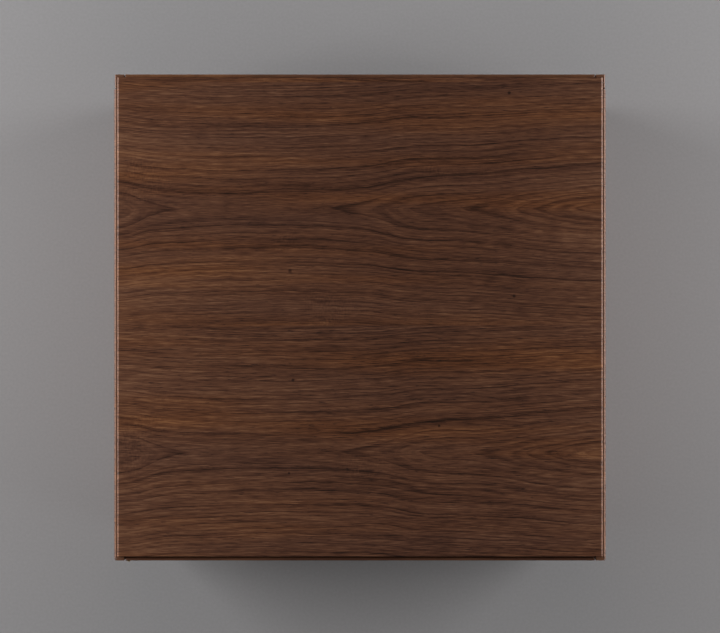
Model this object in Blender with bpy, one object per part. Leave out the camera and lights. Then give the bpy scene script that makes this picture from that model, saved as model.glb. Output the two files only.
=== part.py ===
"""Cube storage unit: a walnut-veneered cube on four glides, with one hinged door and one shelf.

Metres, +Z up.  The origin is on the floor, at the middle of the whole unit's box, hinge knuckles
included.  +X is the unit's right side as someone facing the door sees it, and -Y is the front.
"""
import math

import bmesh
import bpy
from mathutils import Matrix, Vector

# ---- overall sizes
UNIT_WIDTH = 0.400
UNIT_DEPTH = 0.3956
UNIT_HEIGHT = 0.400

# ---- boards, lips and lippings
BOARD = 0.008
SIDE_LIP = 0.0021
REAR_LIP = 0.0024
LIP_DROP = 0.0012
FRONT_LIPPING = 0.0033
REAR_LIPPING = 0.0112
REAR_SETBACK = 0.0004
EDGE_LIPPING = 0.003
CORNER_CHAMFER = 0.0008
LIP_CHAMFER = 0.001
TOP_CHAMFER = 0.0013
ARRIS = 0.0005
FIT = 0.0003
CUTTER_OVERRUN = 0.0012
SEAM_GAP = 0.0008
SEAM_DEPTH = 0.003

# ---- door
DOOR_THICKNESS = 0.012
DOOR_LIP = 0.002
DOOR_LIP_STEP = 0.0008
DOOR_LIP_STEP_DROP = 0.0015
HINGE_SIDE_GAP = 0.0009
FREE_SIDE_GAP = 0.001
DOOR_TOP_GAP = 0.0015
DOOR_BOTTOM_GAP = 0.001
DOOR_BACK_GAP = 0.0015

# ---- butt hinges
LEAF_HEIGHT = 0.040
LEAF_WIDTH = 0.010
LEAF_THICKNESS = 0.0012
KNUCKLE_RADIUS = 0.002
PIN_RADIUS = 0.0009
PIN_HEAD = 0.001
PIN_CROWN_RADIUS = 0.0014
TONGUE_REACH = 0.0012
HINGE_INSET = 0.065
HINGE_SCREW_SPACING = 0.024
HINGE_SCREW_SETBACK = 0.0058

# ---- countersunk wood screws
SCREW_HEAD_RADIUS = 0.0019
SCREW_HEAD_HEIGHT = 0.0009
SCREW_RADIUS = 0.0009
SCREW_LENGTH = 0.0065
SCREW_SLOT = 0.0005
SCREW_SLOT_OVERRUN = 0.0004

# ---- shelf and its pins
SHELF_SETBACK = 0.022
SHELF_SIDE_GAP = 0.001
SHELF_REAR_GAP = 0.002
PIN_HOLE_PITCH = 0.032
PIN_HOLE_ROWS = 5
SHELF_ROW = 2
PIN_SHANK_RADIUS = 0.0024
PIN_SHANK_LENGTH = 0.005
PIN_COLLAR_RADIUS = 0.0042
PIN_COLLAR_THICKNESS = 0.001
PIN_PEG_LENGTH = 0.008
PIN_FLAT_START = 0.0001
PIN_HOLE_SPARE = 0.0009
PIN_INSET = 0.045

# ---- glides
GLIDE_HEIGHT = 0.005
GLIDE_RADIUS = 0.011
GLIDE_INSET = 0.032
GLIDE_SKIRT = 0.0012
GLIDE_CHAMFER = 0.0006
FELT_RADIUS = 0.009
FELT_THICKNESS = 0.0025
GLIDE_NAIL_RADIUS = 0.001
GLIDE_NAIL_LENGTH = 0.005

# ---- push latch and its strike plate
LATCH_DROP = 0.110
LATCH_WIDTH = 0.013
LATCH_HEIGHT = 0.012
LATCH_LENGTH = 0.046
LATCH_AXIS_OFFSET = 0.0083
LATCH_TRAVEL = 0.002
HOUSING_CHAMFER = 0.001
EAR_THICKNESS = 0.002
EAR_REACH = 0.008
EAR_LENGTH = 0.016
EAR_START = 0.012
PLUNGER_RADIUS = 0.003
PLUNGER_LENGTH = 0.026
PLUNGER_BORE_DEPTH = 0.014
MAGNET_RADIUS = 0.0021
MAGNET_THICKNESS = 0.002
SPRING_RADIUS = 0.0014
SPRING_WIRE = 0.00022
SPRING_TURNS = 9
STRIKE_RADIUS = 0.0064
STRIKE_THICKNESS = 0.001

# ---- places worked out from the sizes
KNUCKLE_REACH = 2 * KNUCKLE_RADIUS + FIT
FRONT = (KNUCKLE_REACH - UNIT_DEPTH) / 2
REAR = FRONT + UNIT_DEPTH
OUTER = UNIT_WIDTH / 2
INNER = OUTER - BOARD
LIP = OUTER - SIDE_LIP
BASE = GLIDE_HEIGHT
TOP = UNIT_HEIGHT
RIM = TOP - LIP_DROP
TOP_LEDGE = TOP - BOARD - FIT
BOTTOM_LEDGE = BASE + BOARD + FIT
PANEL_FRONT = FRONT + FRONT_LIPPING + FIT
PANEL_REAR = REAR - REAR_LIP - FIT
FLOOR_FRONT = FRONT + DOOR_THICKNESS + DOOR_BACK_GAP
BACK_FACE = REAR - BOARD
DOOR_LEFT = -INNER + HINGE_SIDE_GAP
DOOR_RIGHT = INNER - FREE_SIDE_GAP
DOOR_BOTTOM = BASE + DOOR_BOTTOM_GAP
DOOR_TOP = TOP - BOARD - DOOR_TOP_GAP
DOOR_BACK = FRONT + DOOR_THICKNESS
HINGE_X = -INNER + HINGE_SIDE_GAP / 2
HINGE_Y = FRONT - FIT - KNUCKLE_RADIUS
HINGE_HEIGHTS = {"lower": DOOR_BOTTOM + HINGE_INSET, "upper": DOOR_TOP - HINGE_INSET}
SHELF_FRONT = DOOR_BACK + SHELF_SETBACK
SHELF_REAR = BACK_FACE - SHELF_REAR_GAP
PIN_ROWS = (SHELF_FRONT + PIN_INSET, SHELF_REAR - PIN_INSET)
MIDDLE = (BASE + TOP) / 2
PIN_HEIGHTS = [MIDDLE + (row - (PIN_HOLE_ROWS - 1) / 2) * PIN_HOLE_PITCH for row in range(PIN_HOLE_ROWS)]
SHELF_UNDERSIDE = PIN_HEIGHTS[SHELF_ROW] + PIN_SHANK_RADIUS * math.cos(math.pi / 4) + FIT
LATCH_X = INNER - LATCH_AXIS_OFFSET
LATCH_Z = TOP - LATCH_DROP
STRIKE_FACE = DOOR_BACK + FIT + STRIKE_THICKNESS
PLUNGER_TIP = STRIKE_FACE + FIT
LATCH_FRONT = PLUNGER_TIP + LATCH_TRAVEL + 2 * FIT

X_AXIS = Vector((1, 0, 0))
Y_AXIS = Vector((0, 1, 0))
Z_AXIS = Vector((0, 0, 1))


# ---- scene, materials and small modelling helpers

def clear_scene():
    """Take away whatever the file opened with."""
    for obj in list(bpy.data.objects):
        bpy.data.objects.remove(obj, do_unlink=True)


def make_material(name, color, roughness, metallic=0.0):
    """A plain Principled finish."""
    material = bpy.data.materials.new(name)
    material.use_nodes = True
    shader = material.node_tree.nodes["Principled BSDF"]
    shader.inputs["Base Color"].default_value = (*color, 1.0)
    shader.inputs["Roughness"].default_value = roughness
    shader.inputs["Metallic"].default_value = metallic
    return material


def make_materials():
    """All the finishes of the unit, by name."""
    return {
        "veneer": make_material("walnut_veneer", (0.090, 0.040, 0.024), 0.45),
        "solid": make_material("walnut_solid", (0.115, 0.052, 0.030), 0.45),
        "brass": make_material("brass", (0.60, 0.42, 0.18), 0.30, 1.0),
        "steel": make_material("steel", (0.55, 0.55, 0.56), 0.35, 1.0),
        "plastic": make_material("black_plastic", (0.020, 0.020, 0.022), 0.50),
        "felt": make_material("felt", (0.060, 0.050, 0.045), 0.95),
    }


def object_from(name, mesh_builder, material, smooth_angle=None):
    """A named object holding what mesh_builder makes."""
    shape = bmesh.new()
    mesh_builder(shape)
    bmesh.ops.recalc_face_normals(shape, faces=shape.faces)
    mesh = bpy.data.meshes.new(name)
    shape.to_mesh(mesh)
    shape.free()
    if smooth_angle is not None:
        mesh.shade_smooth()
        mesh.set_sharp_from_angle(angle=math.radians(smooth_angle))
    mesh.materials.append(material)
    obj = bpy.data.objects.new(name, mesh)
    bpy.context.scene.collection.objects.link(obj)
    return obj


def box(name, low, high, material):
    """A rectangular piece between two corners."""
    low = Vector(low)
    high = Vector(high)

    def build(shape):
        bmesh.ops.create_cube(shape, size=1.0)
        bmesh.ops.scale(shape, vec=high - low, verts=shape.verts)
        bmesh.ops.translate(shape, vec=(low + high) / 2, verts=shape.verts)

    return object_from(name, build, material)


def prism(name, outline, start, end, axis, material):
    """An outline drawn across one axis and pushed along it from start to end."""
    places = {
        "X": lambda a, b: Vector((start, a, b)),
        "Z": lambda a, b: Vector((a, b, start)),
    }
    step = {"X": X_AXIS, "Z": Z_AXIS}[axis] * (end - start)

    def build(shape):
        corners = [shape.verts.new(places[axis](a, b)) for a, b in outline]
        face = shape.faces.new(corners)
        pushed = bmesh.ops.extrude_face_region(shape, geom=[face])["geom"]
        moved = [item for item in pushed if isinstance(item, bmesh.types.BMVert)]
        bmesh.ops.translate(shape, vec=step, verts=moved)

    return object_from(name, build, material)


def turned(name, profile, place, axis, material, sides=24):
    """A profile of (radius, distance) points turned about an axis through place."""
    turn = Z_AXIS.rotation_difference(Vector(axis)).to_matrix().to_4x4()

    def build(shape):
        rings = []
        for radius, distance in profile:
            if radius == 0:
                rings.append([shape.verts.new((0, 0, distance))])
                continue
            angles = [2 * math.pi * (side + 0.5) / sides for side in range(sides)]
            ring = [(radius * math.cos(a), radius * math.sin(a), distance) for a in angles]
            rings.append([shape.verts.new(point) for point in ring])
        for below, above in zip(rings, rings[1:]):
            for side in range(sides):
                after = (side + 1) % sides
                corners = [below[side % len(below)], below[after % len(below)]]
                corners += [above[after % len(above)], above[side % len(above)]]
                shape.faces.new(list(dict.fromkeys(corners)))

    obj = object_from(name, build, material, smooth_angle=35)
    obj.matrix_world = Matrix.Translation(place) @ turn
    return obj


def rod(name, radius, length, place, axis, material, sides=24):
    """A plain round bar that starts at place and runs along axis."""
    profile = [(0, 0), (radius, 0), (radius, length), (0, length)]
    return turned(name, profile, place, axis, material, sides)


def combine(target, tool, operation):
    """Add or cut one shape on another, keeping the tool as a hidden guide."""
    modifier = target.modifiers.new(tool.name, "BOOLEAN")
    modifier.operation = operation
    modifier.solver = "EXACT"
    modifier.object = tool
    tool.hide_render = True
    tool.display_type = "WIRE"


def cut(target, *tools):
    for tool in tools:
        combine(target, tool, "DIFFERENCE")


def join(target, *tools):
    for tool in tools:
        combine(target, tool, "UNION")


def chamfer(obj, width, wanted):
    """Plane off the straight edges that wanted(a, b) picks out."""
    shape = bmesh.new()
    shape.from_mesh(obj.data)
    edges = [edge for edge in shape.edges if wanted(edge.verts[0].co, edge.verts[1].co)]
    bmesh.ops.bevel(shape, geom=edges, offset=width, segments=1, affect="EDGES", clamp_overlap=True)
    shape.to_mesh(obj.data)
    shape.free()


def at(value, wanted):
    return abs(value - wanted) < 1e-6


# ---- carcass

def side_outline(sign):
    """Plan of a side board: mitred to its front lipping, with a shadow gap before its rear one."""
    half = CORNER_CHAMFER / 2
    points = [
        (INNER, PANEL_FRONT),
        (LIP, PANEL_FRONT),
        (OUTER - half + FIT / 2, FRONT + half + FIT / 2),
        (OUTER, FRONT + CORNER_CHAMFER),
        (OUTER, REAR - REAR_LIPPING - SEAM_GAP),
        (OUTER - SEAM_DEPTH, REAR - REAR_LIPPING - SEAM_GAP),
        (OUTER - SEAM_DEPTH, REAR - REAR_LIPPING - FIT),
        (INNER, REAR - REAR_LIPPING - FIT),
    ]
    return [(sign * x, y) for x, y in points]


def front_lipping_outline(sign):
    """Plan of the solid strip on a side's front edge, with its mitred outer end."""
    half = CORNER_CHAMFER / 2
    points = [
        (INNER, FRONT),
        (OUTER - CORNER_CHAMFER, FRONT),
        (OUTER - half - FIT / 2, FRONT + half - FIT / 2),
        (LIP - FIT, FRONT + FRONT_LIPPING),
        (INNER, FRONT + FRONT_LIPPING),
    ]
    return [(sign * x, y) for x, y in points]


def span(sign, near, far):
    """Two x positions in rising order on the left (-1) or right (+1) side."""
    return sorted((sign * near, sign * far))


def rebate_tool(name, sign, y_range, z_range, material):
    """The hollow in a side's inner edge that a top or bottom board sits in."""
    x_low, x_high = span(sign, INNER - BOARD, LIP)
    return box(name, (x_low, y_range[0], z_range[0]), (x_high, y_range[1], z_range[1]), material)


def make_side(label, sign, finish):
    """One side board, with its two solid lippings, its rebates and its shelf pin holes."""
    board = prism(f"{label}_side_panel", side_outline(sign), BASE, RIM, "Z", finish["veneer"])
    chamfer(board, LIP_CHAMFER, lambda a, b: at(a.z, RIM) and at(b.z, RIM) and at(a.x, b.x)
            and at(abs(a.x), OUTER))
    rear_low, rear_high = span(sign, INNER, OUTER - REAR_SETBACK)
    rear = box(f"{label}_rear_lipping", (rear_low, REAR - REAR_LIPPING, BASE), (rear_high, REAR, RIM),
               finish["solid"])
    chamfer(rear, LIP_CHAMFER - REAR_SETBACK, lambda a, b: at(a.x, b.x) and at(a.z, RIM) and at(b.z, RIM)
            and at(abs(a.x), OUTER - REAR_SETBACK))
    front = prism(f"{label}_front_lipping", front_lipping_outline(sign), BASE, RIM, "Z", finish["solid"])
    over = (TOP_LEDGE, TOP + BOARD)
    under = (BASE - BOARD, BOTTOM_LEDGE)
    cut(board, rebate_tool(f"{label}_top_rebate", sign, (PANEL_FRONT - FIT, REAR), over, finish["solid"]))
    cut(board, rebate_tool(f"{label}_floor_rebate", sign, (FLOOR_FRONT, REAR), under, finish["solid"]))
    top_reach = (FRONT, REAR - REAR_LIP)
    floor_reach = (FRONT, BACK_FACE)
    cut(rear, rebate_tool(f"{label}_rear_top_rebate", sign, top_reach, over, finish["solid"]))
    cut(rear, rebate_tool(f"{label}_rear_floor_rebate", sign, floor_reach, under, finish["solid"]))
    for column, y in enumerate(PIN_ROWS):
        for row, z in enumerate(PIN_HEIGHTS):
            start = Vector((sign * (INNER - FIT), y, z))
            hole = rod(f"{label}_pin_hole_{column}_{row}", PIN_SHANK_RADIUS + FIT,
                       PIN_SHANK_LENGTH + PIN_HOLE_SPARE, start, sign * X_AXIS, finish["solid"], sides=12)
            cut(board, hole)
    return board, front


def make_top(finish):
    """The top board, dropped into its rebates, with its two side edges planed back."""
    half = LIP - FIT
    top = box("top_panel", (-half, PANEL_FRONT, TOP - BOARD), (half, PANEL_REAR, TOP), finish["veneer"])
    chamfer(top, TOP_CHAMFER, lambda a, b: at(a.x, b.x) and at(a.z, TOP) and at(b.z, TOP))


def make_back(finish):
    """The back board, with a shadow gap at each end and a thin lip behind the top board."""
    neck = REAR - SEAM_DEPTH
    half = [
        (INNER - FIT, BACK_FACE),
        (INNER - FIT, neck),
        (INNER - SEAM_GAP, neck),
        (INNER - SEAM_GAP, REAR),
    ]
    outline = half + [(-x, y) for x, y in reversed(half)]
    back = prism("back_panel", outline, BASE, RIM, "Z", finish["veneer"])
    chamfer(back, ARRIS, lambda a, b: at(a.z, RIM) and at(b.z, RIM) and at(a.x, b.x)
            and at(abs(a.x), INNER - SEAM_GAP))
    rebate = box("back_rebate", (-UNIT_WIDTH, FRONT, TOP_LEDGE), (UNIT_WIDTH, REAR - REAR_LIP, TOP + BOARD),
                 finish["solid"])
    cut(back, rebate)


def make_floor(finish):
    """The bottom board and the solid strip on its front edge."""
    seam = FLOOR_FRONT + EDGE_LIPPING
    board = box("bottom_panel", (-LIP + FIT, seam + FIT, BASE), (LIP - FIT, BACK_FACE - FIT, BASE + BOARD),
                finish["veneer"])
    box("bottom_front_lipping", (-LIP + FIT, FLOOR_FRONT + FIT, BASE), (LIP - FIT, seam, BASE + BOARD),
        finish["solid"])
    return board


# ---- door

def make_door(finish):
    """The door: a veneered board with four solid lippings, the top one carrying a stepped lip."""
    left = DOOR_LEFT + EDGE_LIPPING
    right = DOOR_RIGHT - EDGE_LIPPING
    low = DOOR_BOTTOM + EDGE_LIPPING
    high = DOOR_TOP - EDGE_LIPPING
    panel = box("door_panel", (left + FIT, FRONT, low + FIT), (right - FIT, DOOR_BACK, high - FIT),
                finish["veneer"])
    outline = [
        (FRONT, high),
        (DOOR_BACK, high),
        (DOOR_BACK, DOOR_TOP),
        (FRONT + DOOR_LIP + DOOR_LIP_STEP, DOOR_TOP),
        (FRONT + DOOR_LIP + DOOR_LIP_STEP, RIM - DOOR_LIP_STEP_DROP),
        (FRONT + DOOR_LIP, RIM - DOOR_LIP_STEP_DROP),
        (FRONT + DOOR_LIP, RIM),
        (FRONT, RIM),
    ]
    lipping = prism("door_top_lipping", outline, DOOR_LEFT, DOOR_RIGHT, "X", finish["solid"])
    chamfer(lipping, ARRIS, lambda a, b: at(a.z, RIM) and at(b.z, RIM) and at(a.x, b.x))
    box("door_bottom_lipping", (left + FIT, FRONT, DOOR_BOTTOM), (right - FIT, DOOR_BACK, low),
        finish["solid"])
    hinge_side = box("door_hinge_lipping", (DOOR_LEFT, FRONT, DOOR_BOTTOM), (left, DOOR_BACK, high - FIT),
                     finish["solid"])
    free_side = box("door_free_lipping", (right, FRONT, DOOR_BOTTOM), (DOOR_RIGHT, DOOR_BACK, high - FIT),
                    finish["solid"])
    chamfer(free_side, ARRIS, lambda a, b: at(a.x, DOOR_RIGHT) and at(b.x, DOOR_RIGHT) and not at(a.z, b.z))
    chamfer(hinge_side, ARRIS, lambda a, b: at(a.x, DOOR_LEFT) and at(b.x, DOOR_LEFT) and not at(a.z, b.z))
    return panel, hinge_side


# ---- screws and hinges

def make_screw(name, place, axis, finish):
    """A slotted countersunk screw whose head is flush at place and whose point runs along axis."""
    profile = [
        (0, 0),
        (SCREW_HEAD_RADIUS, 0),
        (SCREW_RADIUS, SCREW_HEAD_HEIGHT),
        (SCREW_RADIUS, SCREW_LENGTH - 2 * SCREW_RADIUS),
        (0, SCREW_LENGTH),
    ]
    screw = turned(name, profile, place, axis, finish, sides=16)
    half = SCREW_SLOT / 2
    reach = SCREW_HEAD_RADIUS + SCREW_SLOT_OVERRUN
    slot = box(f"{name}_slot", (-reach, -half, -SCREW_SLOT), (reach, half, SCREW_SLOT), finish)
    slot.matrix_world = screw.matrix_world.copy()
    cut(screw, slot)
    return screw


def screw_hole(name, place, axis, material, countersunk):
    """The hollow that one screw needs, with the fit gap all round."""
    back = -CUTTER_OVERRUN
    straight = [(0, back), (SCREW_RADIUS + FIT, back), (SCREW_RADIUS + FIT, SCREW_LENGTH + FIT)]
    sunk = [
        (0, back),
        (SCREW_HEAD_RADIUS + FIT, back),
        (SCREW_HEAD_RADIUS + FIT, 0),
        (SCREW_RADIUS + FIT, SCREW_HEAD_HEIGHT),
        (SCREW_RADIUS + FIT, SCREW_LENGTH + FIT),
    ]
    profile = (sunk if countersunk else straight) + [(0, SCREW_LENGTH + FIT)]
    return turned(name, profile, place, axis, material, sides=16)


def make_leaf(name, side, centre_z, knuckles, finish):
    """One hinge leaf: a plate let in flush, with its knuckles round the pin.

    side is -1 for the leaf on the carcass and +1 for the one on the door.
    """
    face = HINGE_X + side * HINGE_SIDE_GAP / 2
    x_low, x_high = sorted((face, face + side * LEAF_THICKNESS))
    half = LEAF_HEIGHT / 2
    leaf = box(name, (x_low, FRONT + FIT, centre_z - half), (x_high, FRONT + LEAF_WIDTH, centre_z + half),
               finish["brass"])
    for number, (start, end) in enumerate(knuckles):
        tongue = box(f"{name}_tongue_{number}", (x_low, HINGE_Y, start),
                     (x_high, FRONT + TONGUE_REACH, end), finish["brass"])
        foot = Vector((HINGE_X, HINGE_Y, start))
        barrel = rod(f"{name}_knuckle_{number}", KNUCKLE_RADIUS, end - start, foot, Z_AXIS,
                     finish["brass"], sides=20)
        join(leaf, tongue, barrel)
    bore = rod(f"{name}_bore", PIN_RADIUS + FIT, 2 * LEAF_HEIGHT,
               Vector((HINGE_X, HINGE_Y, centre_z - LEAF_HEIGHT)), Z_AXIS, finish["brass"], sides=20)
    cut(leaf, bore)
    return leaf


def leaf_recess(name, side, centre_z, material):
    """The shallow hollow that takes a leaf, open at the front."""
    face = HINGE_X + side * HINGE_SIDE_GAP / 2
    x_low, x_high = sorted((face - side * FIT, face + side * (LEAF_THICKNESS + FIT)))
    half = LEAF_HEIGHT / 2 + FIT
    return box(name, (x_low, FRONT - KNUCKLE_REACH, centre_z - half),
               (x_high, FRONT + LEAF_WIDTH + FIT, centre_z + half), material)


def make_hinge(label, centre_z, carcass_pieces, door_pieces, finish):
    """A three-knuckle butt hinge with its pin and four screws."""
    third = LEAF_HEIGHT / 3
    low = centre_z - LEAF_HEIGHT / 2
    outer_knuckles = [(low, low + third), (low + 2 * third, low + 3 * third)]
    middle_knuckle = [(low + third + FIT, low + 2 * third - FIT)]
    leaves = {
        "carcass": (-1, outer_knuckles, carcass_pieces),
        "door": (1, middle_knuckle, door_pieces),
    }
    for kind, (side, knuckles, pieces) in leaves.items():
        name = f"{label}_hinge_{kind}_leaf"
        leaf = make_leaf(name, side, centre_z, knuckles, finish)
        recess = leaf_recess(f"{name}_recess", side, centre_z, finish["solid"])
        for piece in pieces:
            cut(piece, recess)
        face = HINGE_X + side * HINGE_SIDE_GAP / 2
        for number, offset in enumerate((-HINGE_SCREW_SPACING / 2, HINGE_SCREW_SPACING / 2), start=1):
            place = Vector((face, FRONT + HINGE_SCREW_SETBACK, centre_z + offset))
            screw_name = f"{label}_hinge_{kind}_screw_{number}"
            make_screw(screw_name, place, side * X_AXIS, finish["brass"])
            cut(leaf, screw_hole(f"{screw_name}_sink", place, side * X_AXIS, finish["brass"], True))
            pilot = screw_hole(f"{screw_name}_pilot", place, side * X_AXIS, finish["solid"], False)
            for piece in pieces:
                cut(piece, pilot)
    profile = [
        (0, -PIN_HEAD - FIT),
        (PIN_CROWN_RADIUS, -PIN_HEAD - FIT),
        (KNUCKLE_RADIUS, -PIN_HEAD / 2 - FIT),
        (KNUCKLE_RADIUS, -FIT),
        (PIN_RADIUS, -FIT),
        (PIN_RADIUS, LEAF_HEIGHT + FIT),
        (KNUCKLE_RADIUS, LEAF_HEIGHT + FIT),
        (KNUCKLE_RADIUS, LEAF_HEIGHT + PIN_HEAD / 2 + FIT),
        (PIN_CROWN_RADIUS, LEAF_HEIGHT + PIN_HEAD + FIT),
        (0, LEAF_HEIGHT + PIN_HEAD + FIT),
    ]
    foot = Vector((HINGE_X, HINGE_Y, low))
    turned(f"{label}_hinge_pin", profile, foot, Z_AXIS, finish["brass"], sides=20)


# ---- shelf

def make_shelf(finish):
    """The loose shelf board with the solid strip on its front edge."""
    half = INNER - SHELF_SIDE_GAP
    seam = SHELF_FRONT + EDGE_LIPPING
    top = SHELF_UNDERSIDE + BOARD
    box("shelf_panel", (-half, seam + FIT, SHELF_UNDERSIDE), (half, SHELF_REAR, top), finish["veneer"])
    strip = box("shelf_front_lipping", (-half, SHELF_FRONT, SHELF_UNDERSIDE), (half, seam, top),
                finish["solid"])
    chamfer(strip, ARRIS, lambda a, b: at(a.y, SHELF_FRONT) and at(b.y, SHELF_FRONT))


def make_shelf_pin(label, sign, y, finish):
    """A round pin with a collar against the side and a flat-topped peg under the shelf."""
    z = PIN_HEIGHTS[SHELF_ROW]
    start = Vector((sign * (INNER + PIN_SHANK_LENGTH), y, z))
    shoulder = PIN_SHANK_LENGTH + FIT
    profile = [
        (0, 0),
        (PIN_SHANK_RADIUS, 0),
        (PIN_SHANK_RADIUS, shoulder),
        (PIN_COLLAR_RADIUS, shoulder),
        (PIN_COLLAR_RADIUS, shoulder + PIN_COLLAR_THICKNESS - FIT),
        (PIN_SHANK_RADIUS, shoulder + PIN_COLLAR_THICKNESS - FIT),
        (PIN_SHANK_RADIUS, shoulder + PIN_COLLAR_THICKNESS + PIN_PEG_LENGTH),
        (0, shoulder + PIN_COLLAR_THICKNESS + PIN_PEG_LENGTH),
    ]
    pin = turned(f"{label}_shelf_pin", profile, start, -sign * X_AXIS, finish["steel"], sides=20)
    flat_low = SHELF_UNDERSIDE - FIT
    peg_end = INNER - PIN_COLLAR_THICKNESS - PIN_PEG_LENGTH
    x_low, x_high = span(sign, peg_end - CUTTER_OVERRUN, INNER - FIT - PIN_FLAT_START)
    flat = box(f"{label}_shelf_pin_flat", (x_low, y - BOARD, flat_low),
               (x_high, y + BOARD, flat_low + BOARD), finish["steel"])
    cut(pin, flat)


# ---- glides

def make_glide(label, x, y, floor_board, finish):
    """A nailed plastic cup with a felt pad under one corner."""
    seat = FELT_THICKNESS + FIT
    profile = [
        (0, seat),
        (FELT_RADIUS + FIT, seat),
        (FELT_RADIUS + FIT, GLIDE_SKIRT),
        (GLIDE_RADIUS - GLIDE_CHAMFER, GLIDE_SKIRT),
        (GLIDE_RADIUS, GLIDE_SKIRT + GLIDE_CHAMFER),
        (GLIDE_RADIUS, BASE - FIT),
        (GLIDE_NAIL_RADIUS, BASE - FIT),
        (GLIDE_NAIL_RADIUS, BASE + GLIDE_NAIL_LENGTH - GLIDE_NAIL_RADIUS),
        (0, BASE + GLIDE_NAIL_LENGTH),
    ]
    turned(f"{label}_glide", profile, Vector((x, y, 0)), Z_AXIS, finish["plastic"])
    felt = [(0, 0), (FELT_RADIUS, 0), (FELT_RADIUS, FELT_THICKNESS), (0, FELT_THICKNESS)]
    turned(f"{label}_glide_felt", felt, Vector((x, y, 0)), Z_AXIS, finish["felt"])
    hole = rod(f"{label}_glide_hole", GLIDE_NAIL_RADIUS + FIT, GLIDE_NAIL_LENGTH + FIT + CUTTER_OVERRUN,
               Vector((x, y, BASE - CUTTER_OVERRUN)), Z_AXIS, finish["solid"], sides=12)
    cut(floor_board, hole)


# ---- push latch

def coil(name, place, length, material):
    """A round-wire compression spring along +Y from place."""
    points_per_turn = 12
    steps = SPRING_TURNS * points_per_turn
    curve = bpy.data.curves.new(name, "CURVE")
    curve.dimensions = "3D"
    curve.bevel_depth = SPRING_WIRE
    curve.bevel_resolution = 1
    curve.use_fill_caps = True
    curve.resolution_u = 1
    curve.render_resolution_u = 0
    spline = curve.splines.new("POLY")
    spline.points.add(steps)
    for step in range(steps + 1):
        angle = 2 * math.pi * step / points_per_turn
        x = place.x + SPRING_RADIUS * math.cos(angle)
        y = place.y + length * step / steps
        z = place.z + SPRING_RADIUS * math.sin(angle)
        spline.points[step].co = (x, y, z, 1)
    curve.materials.append(material)
    obj = bpy.data.objects.new(name, curve)
    bpy.context.scene.collection.objects.link(obj)
    return obj


def make_latch(side_board, finish):
    """The push latch on the right side board: housing, sprung plunger with its magnet, two screws."""
    axis_start = Vector((LATCH_X, LATCH_FRONT, LATCH_Z))
    outer = INNER - FIT
    half = LATCH_HEIGHT / 2
    housing = box("latch_housing", (outer - LATCH_WIDTH, LATCH_FRONT, LATCH_Z - half),
                  (outer, LATCH_FRONT + LATCH_LENGTH, LATCH_Z + half), finish["plastic"])
    inner = outer - LATCH_WIDTH
    chamfer(housing, HOUSING_CHAMFER, lambda a, b: at(a.x, inner) and at(b.x, inner))
    ear_half = half + EAR_REACH
    ears = box("latch_housing_ears", (outer - EAR_THICKNESS, LATCH_FRONT + EAR_START, LATCH_Z - ear_half),
               (outer, LATCH_FRONT + EAR_START + EAR_LENGTH, LATCH_Z + ear_half), finish["plastic"])
    join(housing, ears)
    plunger_end = PLUNGER_TIP + PLUNGER_LENGTH
    bore_end = plunger_end + LATCH_TRAVEL + 2 * FIT
    bore = rod("latch_bore", PLUNGER_RADIUS + FIT, bore_end - LATCH_FRONT + LATCH_TRAVEL,
               axis_start - LATCH_TRAVEL * Y_AXIS, Y_AXIS, finish["plastic"])
    cut(housing, bore)
    for number, side in enumerate((-1, 1), start=1):
        place = Vector((outer - EAR_THICKNESS, LATCH_FRONT + EAR_START + EAR_LENGTH / 2,
                        LATCH_Z + side * (half + EAR_REACH / 2)))
        name = f"latch_screw_{number}"
        make_screw(name, place, X_AXIS, finish["steel"])
        cut(housing, screw_hole(f"{name}_sink", place, X_AXIS, finish["plastic"], True))
        cut(side_board, screw_hole(f"{name}_pilot", place, X_AXIS, finish["solid"], False))
    make_plunger(finish)
    spring_start = Vector((LATCH_X, plunger_end - PLUNGER_BORE_DEPTH + LATCH_TRAVEL + 2 * FIT, LATCH_Z))
    spring_end = bore_end - FIT - SPRING_WIRE
    coil("latch_spring", spring_start, spring_end - spring_start.y, finish["steel"])


def make_plunger(finish):
    """The plunger, hollow at the rear for its spring and at the front for its magnet."""
    wall = SPRING_RADIUS + SPRING_WIRE + 2 * FIT
    seat = MAGNET_THICKNESS + FIT
    bore_start = PLUNGER_LENGTH - PLUNGER_BORE_DEPTH
    profile = [
        (0, seat),
        (MAGNET_RADIUS + FIT, seat),
        (MAGNET_RADIUS + FIT, 0),
        (PLUNGER_RADIUS - ARRIS, 0),
        (PLUNGER_RADIUS, ARRIS),
        (PLUNGER_RADIUS, PLUNGER_LENGTH),
        (wall, PLUNGER_LENGTH),
        (wall, bore_start),
        (0, bore_start),
    ]
    tip = Vector((LATCH_X, PLUNGER_TIP, LATCH_Z))
    turned("latch_plunger", profile, tip, Y_AXIS, finish["plastic"], sides=20)
    rod("latch_magnet", MAGNET_RADIUS, MAGNET_THICKNESS, tip, Y_AXIS, finish["steel"], sides=20)


def make_strike(door_panel, finish):
    """The steel disc on the back of the door that the latch's magnet holds."""
    face = Vector((LATCH_X, STRIKE_FACE, LATCH_Z))
    profile = [
        (0, 0),
        (STRIKE_RADIUS - ARRIS, 0),
        (STRIKE_RADIUS, ARRIS),
        (STRIKE_RADIUS, STRIKE_THICKNESS),
        (0, STRIKE_THICKNESS),
    ]
    plate = turned("strike_plate", profile, face, -Y_AXIS, finish["steel"])
    make_screw("strike_screw", face, -Y_AXIS, finish["steel"])
    cut(plate, screw_hole("strike_screw_sink", face, -Y_AXIS, finish["steel"], True))
    cut(door_panel, screw_hole("strike_screw_pilot", face, -Y_AXIS, finish["solid"], False))


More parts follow.
